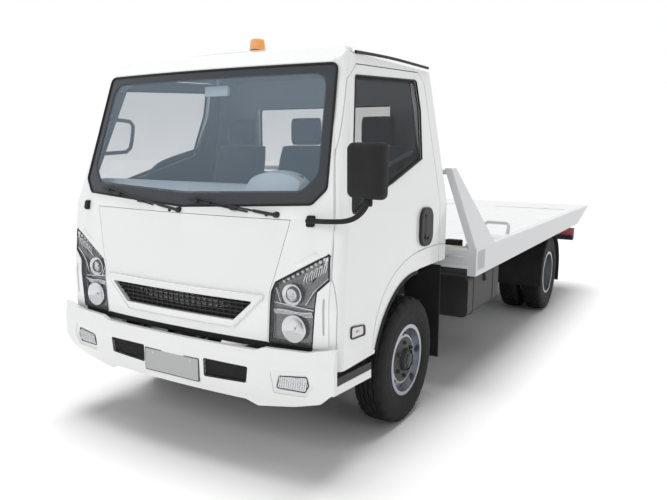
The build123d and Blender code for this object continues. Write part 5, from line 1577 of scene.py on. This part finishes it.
    def arch_trim(self) -> None:
        """Black rubber trim round the front wheel arches."""
        for side in Side:
            shape = Shape(f"arch_trim_{side.word}")
            rows = []
            for step in range(25):
                angle = radians(-20 + step * 4.7)
                y, z = FRONT_AXLE_Y - self.arch_r * cos(angle), AXLE_Z + self.arch_r * sin(angle)
                if angle > pi / 2:
                    y, z = FRONT_AXLE_Y + (angle - pi / 2) * 0.55, AXLE_Z + self.arch_r
                if z >= 0.585:
                    rows.append((y, z))
            for x, radius in ((0.9865, 0.010), (0.972, 0.008)):
                shape.tube([(side.value * x, y, z) for y, z in rows], radius, 8)
            shape.finish("cab", "soft_black")

    def step_treads(self) -> None:
        """Raised grip bars on the cab steps."""
        low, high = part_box("steps")
        shape = Shape("step_treads")
        for x in evenly(0.760, 0.032, 7):
            shape.box((x - 0.005, low.y + 0.05, 0.551), (x + 0.005, high.y - 0.03, 0.5605), 0.0015)
        shape.mirrored()
        shape.finish("chassis", "trim_black")

    def rear_wall(self) -> None:
        """Ribs of the cab's rear wall, the duct's slats and the window rubber."""
        low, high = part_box("intake_duct")
        shape = Shape("duct_slats")
        for z in evenly(high.z - 0.05, -0.035, 9):
            shape.box((low.x + 0.03, high.y - 0.003, z - 0.009), (high.x - 0.03, high.y + 0.004, z), 0.003)
        shape.tube(((0.70, -1.385, 1.13), (0.70, -1.385, 1.00), (0.66, -1.42, 0.92)), 0.045, 18, 2)
        for number in range(6):
            shape.turned(((0, 0.0455), (0.004, 0.049), (0.008, 0.0455)),
                         (0.70, -1.385, 1.105 - number * 0.018), (0, 0, -1), 24, caps=False)
        shape.finish("cab", "duct_black")
        seal = Shape("rear_window_seal")
        outline = rectangle((-0.560, 1.480), (0.560, 1.960), 0.030, 6)
        seal.loop([(x, CAB_REAR_Y - 0.0005, z) for x, z in outline], 0.009)
        seal.finish("cab", "seal_black")
        ribs = Shape("rear_wall_ribs")
        for z in (1.08, 1.18, 1.28, 1.38):
            rows = []
            for out, half in ((-0.0002, 0.022), (0.005, 0.016), (0.006, 0.010)):
                outline = rectangle((-0.52, z - half), (0.52, z + half), half * 0.9, 5)
                rows.append([(x, CAB_REAR_Y + out, pz) for x, pz in outline])
            ribs.loft(rows)
        ribs.finish("cab", "cab_white", smooth=50)


@dataclass
class Seats:
    """Three upholstered seats with seams, side bolsters and headrests."""

    table: tuple[Flat, ...] = ((0.56, 0.48), (0.0, 0.42), (-0.56, 0.48))

    def pad(self, shape: Shape, size: Sequence[float], turn: Matrix, seams: Sequence[float],
            bolster: float) -> None:
        """Adds a crowned closed pad with sewn channels.

        Args:
            shape: What it is added to.
            size: Width, height and thickness.
            turn: Its place: thickness runs along its own Z.
            seams: Where channels run across it, as shares of its height.
            bolster: How much its sides rise over its middle.
        """
        wide, high, thick = size
        across, along = 22, 26
        rings = []
        for row in range(along + 1):
            v = row / along * 2 - 1
            ring = []
            for face in (1, -1):
                for column in range(across + 1):
                    u = column / across * 2 - 1
                    u_now = u * face
                    soft_u = copysign(abs(u_now) ** 0.9, u_now)
                    edge = max(0.0, 1 - abs(u_now) ** 5) ** 0.5 * max(0.0, 1 - abs(v) ** 6) ** 0.5
                    lift = thick / 2 * edge
                    if face > 0:
                        lift -= 0.010 * bolster * (1 - min(1.0, (abs(u_now) / 0.62) ** 6)) * edge
                        for seam in seams:
                            lift -= 0.007 * exp(-(((v - seam) * high / 2) / 0.006) ** 2) * edge
                        lift -= 0.008 * exp(-(((abs(u_now) - 0.64) * wide / 2) / 0.006) ** 2) * edge
                    pull = 1 - 0.05 * abs(v) ** 4
                    crown = 1 - 0.03 * u_now ** 4
                    ring.append(turn @ Vector((soft_u * wide / 2 * pull, v * high / 2 * crown, face * lift)))
            rings.append(ring)
        shape.loft(rings)

    def build(self) -> None:
        """Builds every seat and replaces the CAD seats."""
        front = FRONT_AXLE_Y - 0.330
        first = True
        for number, (x, wide) in enumerate(self.table):
            name = ("left", "middle", "right")[number]
            cushion = Shape(f"seat_cushion_{name}")
            flat = Matrix.Translation((x, front + 0.252, 1.072))
            self.pad(cushion, (wide - 0.005, 0.495, 0.148), flat, (-0.55, -0.1, 0.35), 1.0)
            back = Shape(f"seat_back_{name}")
            lean = atan2(0.140, 0.600)
            turn = (Matrix.Translation((x, front + 0.575, 1.395))
                    @ Matrix.Rotation(pi / 2 - lean, 4, "X"))
            self.pad(back, (wide - 0.022, 0.600, 0.098), turn, (-0.5, 0.0, 0.5), 1.2)
            rest = Shape(f"headrest_{name}")
            upright = Matrix.Translation((x, front + 0.656, 1.783)) @ Matrix.Rotation(pi / 2, 4, "X")
            self.pad(rest, (0.236, 0.186, 0.088), upright, (), 0.3)
            for shape, fill in ((cushion, 0.75), (back, 0.7), (rest, 0.8)):
                thing = shape.finish("cab", "seat_cloth", smooth=70)
                if first:
                    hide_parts("seats")
                    first = False
            posts = Shape(f"headrest_posts_{name}")
            for side in (-0.06, 0.06):
                posts.rod((x + side, front + 0.640, 1.68), (x + side, front + 0.652, 1.735), 0.006)
            posts.finish("cab", "rod_chrome")
        log.info("built seats")


@dataclass
class Dash:
    """Instrument hood, air vents, gear lever and pillar grips."""

    hood_x: float = 0.50
    hood_half: float = 0.175
    hood_z: float = 1.462
    hood_rise: float = 0.092
    grip_route: tuple[Point, ...] = ((-2.690, 1.625, 0.055), (-2.600, 1.632, 0.100), (-2.508, 1.640, 0.128),
                                     (-2.495, 1.735, 0.128), (-2.490, 1.828, 0.118),
                                     (-2.580, 1.838, 0.090), (-2.640, 1.842, 0.050))

    def build(self) -> None:
        """Builds the pieces on the dashboard."""
        hood = Shape("instrument_hood")
        rings = []
        for step in range(11):
            angle = pi * step / 10
            x = self.hood_x + self.hood_half * cos(angle)
            z = self.hood_z + self.hood_rise * max(0.0, sin(angle)) ** 0.7
            rings.append([(x, -2.790, 1.385 + (z - self.hood_z) * 0.25), (x, -2.715, z - 0.012),
                          (x, -2.640, z), (x, -2.632, z - 0.004), (x, -2.640, z - 0.014),
                          (x, -2.715, z - 0.030)])
        hood.loft(rings)
        hood.use(1).box((0.35, -2.668, 1.440), (0.65, -2.655, 1.530), 0.008)
        hood.use(2)
        for x in (0.435, 0.565):
            hood.turned(((0.0, 0.036), (0.004, 0.035), (0.004, 0.031)), (x, -2.657, 1.492), (0, 1, 0.1), 32,
                        caps=False)
        hood.finish("cab", "dash_grey", "dash_dark", "rod_chrome")
        vents = Shape("dash_vents")
        for x in (-0.74, -0.12, 0.10, 0.76):
            vents.box((x - 0.062, -2.534, 1.205), (x + 0.062, -2.515, 1.268), 0.006)
            for z in evenly(1.214, 0.0115, 5):
                vents.box((x - 0.052, -2.517, z), (x + 0.052, -2.511, z + 0.004), 0.001)
        vents.box((-0.115, -2.545, 1.060), (0.095, -2.540, 1.190), 0.004)
        for number in range(3):
            vents.turned(((0.0, 0.020), (0.014, 0.018), (0.016, 0.014)),
                         (-0.07 + number * 0.06, -2.540, 1.09), (0, 1, 0), 20)
        for sign in (1, -1):
            vents.tube([(sign * (0.16 + k * 0.10), -2.800, 1.3955) for k in range(6)], 0.004, 6)
        vents.finish("cab", "dash_dark")
        foot, knob = (-0.10, -2.42, 0.86), (-0.09, -2.40, 1.155)
        lever = Shape("gear_lever")
        lever.tube((foot, (-0.10, -2.44, 1.05), (-0.09, -2.40, 1.16)), 0.009, 10, 2)
        lever.turned(((-0.02, 0.010), (0.0, 0.020), (0.020, 0.025), (0.040, 0.020), (0.046, 0.008)), knob,
                     (0.05, 0.2, 1), 24)
        lever.turned(((0, 0.060), (0.03, 0.045), (0.06, 0.028), (0.10, 0.016)), foot, (0, 0, 1), 24)
        lever.finish("cab", "soft_black")
        grip = Shape("pillar_grip")
        for sign in (-1, 1):
            grip.tube([(sign * (side_x(z) - inset), y, z) for y, z, inset in self.grip_route], 0.012, 12, 1)
        grip.finish("cab", "dash_dark")


@dataclass
class BedTrim:
    """Rails' plates, winch cable, board and the other small pieces of the bed."""

    front: float = -1.315
    deck: float = 0.955

    def build(self) -> None:
        """Builds the small pieces of the bed."""
        self.head_beam()
        self.rails()
        self.deck_pieces()
        self.winch()
        self.stops()

    def head_beam(self) -> None:
        """Front beam: sunk channel, lips and the lamp block on it."""
        shape = Shape("head_beam_trim")
        y = self.front
        shape.box((-1.088, y - 0.006, 0.985), (1.088, y + 0.002, 1.009), 0.003)
        shape.box((-1.088, y - 0.006, 0.866), (1.088, y + 0.002, 0.890), 0.003)
        shape.use(1).box((-1.060, y - 0.003, 0.932), (1.060, y + 0.001, 0.952), 0.004)
        shape.use(2)
        for x in (-0.86, -0.52, -0.18, 0.18, 0.52, 0.86):
            shape.bolt((x, y, 0.912), (0, -1, 0), 0.008)
        shape.use(3).box((0.905, y + 0.052, 0.956), (1.015, y + 0.110, 1.048), 0.006)
        shape.use(4).box((-1.086, y + 0.001, 1.0095), (1.086, y + 0.049, 1.0125), 0.001)
        shape.finish("bed", "bed_white", "zinc", "zinc", "soft_black",
                             "board_beige")

    def rails(self) -> None:
        """Plates at the rails' fronts, worn top edges and the posts' details."""
        shape = Shape("rail_fittings")
        x = 1.150
        outline = rectangle((self.front + 0.030, 0.855), (self.front + 0.190, 0.985), 0.012, 4)
        shape.slab([(x - 0.0030, y, z) for y, z in outline], (0.0032, 0, 0))
        shape.use(1)
        for y in (self.front + 0.052, self.front + 0.168):
            for z in (0.872, 0.968):
                shape.turned(((0, 0.0055), (0.002, 0.005), (0.003, 0.003)), (x - 0.0026, y, z), (1, 0, 0), 12)
        shape.use(2)
        route = ((self.front + 0.445, 0.9995), (self.front + 0.60, 0.9985), (0.90, 0.9910), (2.95, 0.9830))
        shape.tube([(1.1485, y, z - 0.0012) for y, z in route], 0.0014, 6)
        shape.mirrored()
        shape.finish("bed", "plate_grey", "zinc", "worn_steel")
        cap = Shape("post_details")
        foot, top = Vector((1.122, self.front + 0.004, 1.0)), Vector((0.930, self.front + 0.004, 1.535))
        for share in (0.12, 0.45, 0.80):
            spot = foot.lerp(top, share)
            cap.bolt(spot + Vector((0, -0.003, 0)), (0, -1, 0), 0.007)
        cap.tube((foot + Vector((0.0235, 0.0, 0)), top + Vector((0.0235, 0.0, 0))), 0.004, 8)
        cap.mirrored()
        cap.finish("bed", "bed_white")

    def deck_pieces(self) -> None:
        """The board by the rail and the edge strip of the tail."""
        board = Shape("deck_board")
        board.box((0.930, -0.905, self.deck - 0.0005), (1.085, -0.420, self.deck + 0.018), 0.004)
        board.finish("bed", "board_beige")
        edge = Shape("tail_edge")
        edge.rod((-1.088, 2.984, 0.9765), (1.088, 2.984, 0.9765), 0.0055)
        for sign in (-1, 1):
            edge.box((sign * 0.55 - 0.42, 2.50, 0.9565), (sign * 0.55 + 0.42, 2.506, 0.9600), 0.001)
        edge.finish("bed", "zinc")

    def winch(self) -> None:
        """Wound cable, gear case ribs, bolts and hoses of the winch."""
        y, z = self.front + 0.260, self.deck + 0.100
        coil = Shape("winch_cable")
        for layer, radius in ((0, 0.049), (1, 0.0565)):
            steps = (34 - layer) * 14
            coil.tube([(-0.163 + layer * 0.004 + 0.326 * n / steps, y + radius * cos(tau * n / 14),
                        z + radius * sin(tau * n / 14)) for n in range(steps)], 0.0046, 6)
        coil.finish("winch_drum_body", "cable_steel", smooth=60)
        shape = Shape("winch_trim")
        rib = ((0.0, 0.0552), (0.0, 0.058), (0.005, 0.058), (0.005, 0.0552))
        for number in range(6):
            shape.turned(rib, (-0.225 - number * 0.022, y, z), (-1, 0, 0), 32, caps=False)
        for spot in around(Vector((-0.3502, y, z)), 0.040, 6):
            shape.bolt(spot, (-1, 0, 0), 0.006)
        for sign in (-1, 1):
            for step in (-0.085, 0.085):
                shape.bolt((sign * 0.235, y + step, self.deck + 0.0115), (0, 0, 1), 0.009)
            shape.turned(((0, 0.028), (0.006, 0.027), (0.008, 0.020)), (0.2152, y, z), (1, 0, 0), 24)
        for out, rows in ((0.0, ((0.10, 0.045), (0.150, -0.02), (0.185, -0.07), (0.208, -0.085))),
                          (0.03, ((0.09, 0.035), (0.150, -0.03), (0.185, -0.075), (0.208, -0.085)))):
            hose = [(-0.30 + out, y - 0.03, z + 0.05)]
            hose += [(x + out, y - back, z + rise)
                     for x, (back, rise) in zip((-0.30, -0.28, -0.26, -0.26), rows)]
            shape.tube(hose, 0.009, 10, 2)
        shape.finish("bed", "chassis_black")

    def stops(self) -> None:
        """Foot plates of the wheel stops."""
        shape = Shape("stop_feet")
        low, high = self.deck - 0.0005, self.deck + 0.006
        for x in (0.850, 1.055):
            shape.box((x - 0.030, -0.285, low), (min(x + 0.030, 1.089), -0.225, high), 0.002)
        shape.mirrored()
        shape.finish("bed", "bed_white")


@dataclass
class ChassisTrim:
    """Clamps, pipes, straps, lamps and bolts under the truck."""

    spring_x: Flat = (0.343, 0.417)
    rail_web: float = 0.4095
    exhaust_x: float = -0.29
    exhaust_z: float = 0.425
    guard_r: float = 0.4185
    lamp_pitch: float = 0.0670

    def build(self) -> None:
        """Builds the pieces under the truck."""
        self.spring_clamps()
        self.rail_bolts()
        self.tank()
        self.battery()
        self.exhaust()
        self.rear_lamps()
        self.engine()
        self.guards()

    def spring_clamps(self) -> None:
        """U-bolts, spring leaves' clips and shock absorbers."""
        shape = Shape("spring_clamps")
        for axle_y, low, high in ((FRONT_AXLE_Y, 0.380, 0.480), (REAR_AXLE_Y, 0.335, 0.495)):
            for step in (-0.042, 0.042):
                y = axle_y + step
                left, right = self.spring_x
                bow = high + 0.010
                shape.tube(((left, y, low), (left, y, high), (0.350, y, bow), (0.410, y, bow),
                            (right, y, high), (right, y, low)), 0.008, 8, 1)
                for x in self.spring_x:
                    shape.bolt((x, y, low + 0.003), (0, 0, -1), 0.010)
            shape.box((0.335, axle_y - 0.060, low + 0.002), (0.425, axle_y + 0.060, low + 0.014), 0.003)
        shape.use(1)
        for y, foot_z, top_z in ((FRONT_AXLE_Y + 0.060, 0.420, 0.640), (REAR_AXLE_Y - 0.070, 0.400, 0.640)):
            shape.rod((0.440, y, foot_z), (0.430, y + 0.10, top_z), 0.014)
            shape.rod((0.4395, y + 0.006, foot_z + 0.018), (0.434, y + 0.062, foot_z + 0.135), 0.026)
            shape.bolt((0.412, y + 0.10, top_z), (1, 0, 0), 0.012)
        shape.mirrored()
        shape.finish("chassis", "spring_black", "chassis_black")

    def rail_bolts(self) -> None:
        """Bolt heads and pipe runs along the frame rails."""
        shape = Shape("rail_bolts")
        for y in (-2.45, -1.10, -0.80, -0.45, -0.15, 0.35, 0.65, 0.95, 1.85, 2.10):
            for z in (0.550, 0.668):
                for step in (0.0, 0.055):
                    shape.bolt((self.rail_web, y + step, z), (1, 0, 0), 0.009)
        shape.mirrored()
        shape.use(1)
        for row, z in enumerate((0.612, 0.630)):
            shape.tube([(self.rail_web - 0.020, -1.05 + k * 0.28, z + 0.002 * sin(k * 1.7 + row))
                        for k in range(11)], 0.006, 8, 1)
        shape.finish("chassis", "chassis_black", "soft_black")

    def tank(self) -> None:
        """Straps and cap of the fuel tank."""
        low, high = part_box("fuel_tank")
        shape = Shape("tank_straps")
        thick = 0.0035
        outline = rectangle((0.540, low.z), (high.x, high.z), 0.047, 6)
        outer = [(x + copysign(thick, x - 0.72) * (abs(x - 0.72) > 0.17),
                  z + copysign(thick, z - 0.52) * (abs(z - 0.52) > 0.155)) for x, z in outline]
        for y in (low.y + 0.150, low.y + 0.660):
            shape.loft([[(x, y + step, z) for x, z in row] for row, step in (
                (outline, -0.020), (outer, -0.020), (outer, 0.020), (outline, 0.020))], caps=False)
        shape.use(1)
        spot = Vector((high.x - 0.012, low.y + 0.40, high.z - 0.060))
        shape.turned(((-0.006, 0.040), (0.012, 0.040), (0.014, 0.037)), spot, (1, 0, 0.45), 28)
        shape.turned(((0.012, 0.034), (0.026, 0.033), (0.030, 0.026), (0.030, 0.006)), spot, (1, 0, 0.45), 12)
        shape.finish("chassis", "chassis_black", "trim_black")

    def battery(self) -> None:
        """Lid, latches and ribs of the battery box."""
        low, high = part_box("battery_box")
        shape = Shape("battery_lid")
        shape.box((low.x - 0.004, low.y - 0.004, 0.660), (-0.536, high.y + 0.004, 0.686), 0.006)
        for y in (low.y + 0.10, high.y - 0.10):
            shape.box((low.x - 0.012, y - 0.014, 0.625), (low.x + 0.002, y + 0.014, 0.672), 0.003)
        for y in evenly(low.y + 0.06, 0.086, 6):
            shape.box((low.x - 0.005, y - 0.008, 0.440), (low.x + 0.002, y + 0.008, 0.610), 0.003)
        shape.finish("chassis", "trim_black")

    def exhaust(self) -> None:
        """Silencer and tail pipe beside the right rail."""
        shape = Shape("exhaust")
        shape.tube(((-0.20, -1.50, 0.480), (-0.27, -1.30, 0.440), (-0.29, -1.05, 0.425)), 0.026, 14, 2)
        x, z = self.exhaust_x, self.exhaust_z
        shape.turned(((0.0, 0.028), (0.02, 0.080), (0.035, 0.085), (0.47, 0.085), (0.485, 0.080),
                      (0.505, 0.028)), (x, -1.07, z), (0, 1, 0), 36)
        band = ((0, 0.0855), (0.0, 0.088), (0.025, 0.088), (0.025, 0.0855))
        for y in (-0.98, -0.66):
            shape.turned(band, (x, y, z), (0, 1, 0), 36, caps=False)
            shape.box((x - 0.010, y + 0.002, 0.505), (x + 0.010, y + 0.022, 0.560), 0.002)
        shape.tube(((x, -0.575, z), (x, -0.20, 0.430), (-0.30, 0.25, 0.440), (-0.31, 0.55, 0.45)),
                   0.024, 14, 1)
        shape.finish("chassis", "engine_grey")

    def rear_lamps(self) -> None:
        """Divided lenses, side cups and plate lamp on the rear bar."""
        low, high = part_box("rear_lamps")
        shape = Shape("rear_lamp_lenses")
        y = high.y - 0.006
        for number in range(3):
            shape.use(number)
            x = 0.8735 + number * self.lamp_pitch
            outline = rectangle((x, 0.610), (x + 0.064, 0.730), 0.008, 4)
            shape.domed(outline, (x + 0.032, 0.670), ((-0.002, 1.0), (0.004, 0.97), (0.0058, 0.85)),
                        lambda px, pz, out: (px, y + out, pz))
        shape.use(3).box((0.868, low.y + 0.002, 0.603), (1.0775, high.y - 0.012, 0.737), 0.004)
        shape.mirrored()
        shape.use(3).box((-0.235, low.y - 0.001, 0.612), (0.235, low.y + 0.006, 0.648), 0.003)
        shape.use(2).box((-0.040, low.y + 0.002, 0.634), (0.040, low.y + 0.022, 0.652), 0.004)
        shape.finish("chassis", "red_lens", "amber_lens",
                             "marker_lens", "trim_black")

    def engine(self) -> None:
        """Ribs, cover, pulley and sump of the engine block."""
        low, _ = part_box("engine")
        shape = Shape("engine_details")
        for y in evenly(low.y + 0.05, 0.095, 7):
            for sign in (-1, 1):
                shape.box((sign * 0.262 - 0.006, y, 0.560), (sign * 0.262 + 0.006, y + 0.018, 0.800), 0.003)
        shape.box((-0.17, low.y + 0.03, 0.856), (0.17, low.y + 0.64, 0.878), 0.010)
        shape.box((-0.15, low.y + 0.10, 0.448), (0.15, low.y + 0.55, 0.474), 0.010)
        shape.use(1)
        for x, z, radius in ((0.0, 0.560, 0.085), (0.13, 0.70, 0.050), (-0.12, 0.72, 0.060)):
            shape.turned(((0.0, radius * 0.5), (0.012, radius), (0.020, radius), (0.026, radius * 0.9),
                          (0.032, radius), (0.040, radius), (0.045, radius * 0.4)),
                         (x, low.y + 0.002, z), (0, -1, 0), 32)
        shape.finish("chassis", "engine_grey", "cast_iron")

    def guards(self) -> None:
        """Stiffening beads of the rear mudguards."""
        shape = Shape("guard_beads")
        turns = [radians(18 + step * 6.0) for step in range(25)]
        for x in (0.575, 1.060):
            shape.tube([(x, REAR_AXLE_Y + self.guard_r * cos(angle), AXLE_Z + self.guard_r * sin(angle))
                        for angle in turns], 0.005, 8)
        shape.mirrored()
        shape.finish("chassis", "soft_black")


@dataclass
class Studio:
    """Floor, world, lamps and the photograph's camera."""

    eye: Point = (2.488, -5.4495, 1.675)
    azimuth: float = 30.686
    elevation: float = 9.108
    roll: float = 0.332
    focal_px: float = 640.30
    sensor: float = 36.0
    sky_light: float = 0.32

    def camera(self) -> None:
        """Puts the camera where the photograph was taken."""
        turn, tilt, roll = (radians(v) for v in (self.azimuth, self.elevation, self.roll))
        ahead = Vector((-sin(turn) * cos(tilt), cos(turn) * cos(tilt), -sin(tilt)))
        right = ahead.cross(Vector((0, 0, 1))).normalized()
        up = right.cross(ahead)
        level = right * cos(roll) + up * sin(roll)
        crown = up * cos(roll) - right * sin(roll)
        data = bpy.data.cameras.new("photo_camera")
        data.sensor_width = self.sensor
        data.lens = self.focal_px / PHOTO_WIDTH * self.sensor
        data.clip_end = 200
        thing = bpy.data.objects.new("photo_camera", data)
        bpy.context.scene.collection.objects.link(thing)
        thing.matrix_world = Matrix((
            (level.x, crown.x, -ahead.x, self.eye[0]), (level.y, crown.y, -ahead.y, self.eye[1]),
            (level.z, crown.z, -ahead.z, self.eye[2]), (0, 0, 0, 1)))
        bpy.context.scene.camera = thing

    def floor(self) -> None:
        """Pale floor that keeps the shadow and otherwise shows white."""
        sheet = Sheet("studio_floor")
        sheet.set(Base_Color=(0.90, 0.90, 0.90), Roughness=0.95, Specular_IOR_Level=0.0)
        mesh = bpy.data.meshes.new("studio_floor")
        mesh.from_pydata([(-60, -60, 0), (60, -60, 0), (60, 60, 0), (-60, 60, 0)], [], [(0, 1, 2, 3)])
        mesh.materials.append(sheet.material)
        thing = bpy.data.objects.new("studio_floor", mesh)
        bpy.context.scene.collection.objects.link(thing)

    def lamp(self, name: str, place: Point, target: Point, size: float, power: float) -> None:
        """Adds a soft lamp that faces its target and shows in no reflection.

        Args:
            name: Name of the lamp.
            place: Where it stands.
            target: What it faces.
            size: Width of a square lamp, or 0 for an even far light.
            power: Watts, or watts per square metre for a far light.
        """
        data = bpy.data.lights.new(name, "AREA" if size else "SUN")
        if size:
            data.size = size
        else:
            data.angle = radians(38)
        data.energy = power
        thing = bpy.data.objects.new(name, data)
        bpy.context.scene.collection.objects.link(thing)
        thing.location = place
        thing.rotation_euler = (Vector(target) - Vector(place)).to_track_quat("-Z", "Y").to_euler()
        thing.visible_glossy = False

    def world(self) -> None:
        """White world, dimmer as a light than as a background."""
        sky = Sky("studio_world")
        bpy.context.scene.world = sky.world
        path = sky.node("ShaderNodeLightPath")
        camera, through, shine = (Signal(sky, path.outputs[f"Is {ray} Ray"])
                                  for ray in ("Camera", "Transmission", "Glossy"))
        seen = camera.most(through).most(shine)
        strength = sky.node("ShaderNodeMapRange",
                            inputs={"Value": seen, "To Min": self.sky_light, "To Max": 1.0})
        sky.set(Color=(1.0, 1.0, 1.0), Strength=strength.outputs[0])

    def build(self) -> None:
        """Builds the studio."""
        self.camera()
        self.floor()
        self.world()
        self.lamp("top", (-0.6, 1.6, 8.0), (0, 0, 0), 0.0, 2.75)
        self.lamp("front", (-0.8, -9.5, 5.0), (0, -2.5, 1.2), 4.0, 190)
        self.lamp("side", (8.0, -3.5, 3.4), (1.0, -0.5, 1.0), 4.0, 45)
        bpy.context.scene.view_settings.view_transform = "Standard"


def main() -> None:
    """Builds the studio and every sub-assembly."""
    logging.basicConfig(level=logging.INFO, format="%(message)s")
    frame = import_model()
    Studio().build()
    CadDress().dress(frame["nodes"])
    tyre = Tyre()
    inner, outer = REAR_TYRES_X
    for ends, axle_y, places in (("_front_left", FRONT_AXLE_Y, (FRONT_TYRE_X,)),
                                 ("_front_right", FRONT_AXLE_Y, (-FRONT_TYRE_X,)),
                                 ("s_rear_left", REAR_AXLE_Y, (inner, outer)),
                                 ("s_rear_right", REAR_AXLE_Y, (-outer, -inner))):
        tyre.build("road_tyre" + ends, "wheel" + ends, places, axle_y, "tyre" + ends)
    for side in Side:
        WheelTrim(side).build()
        DoorTrim(side).build()
        Headlamp(side).build()
    ScreenTrim().build()
    FrontTrim().build()
    CabFittings().build()
    Seats().build()
    Dash().build()
    BedTrim().build()
    ChassisTrim().build()


if __name__ == "__main__":
    main()
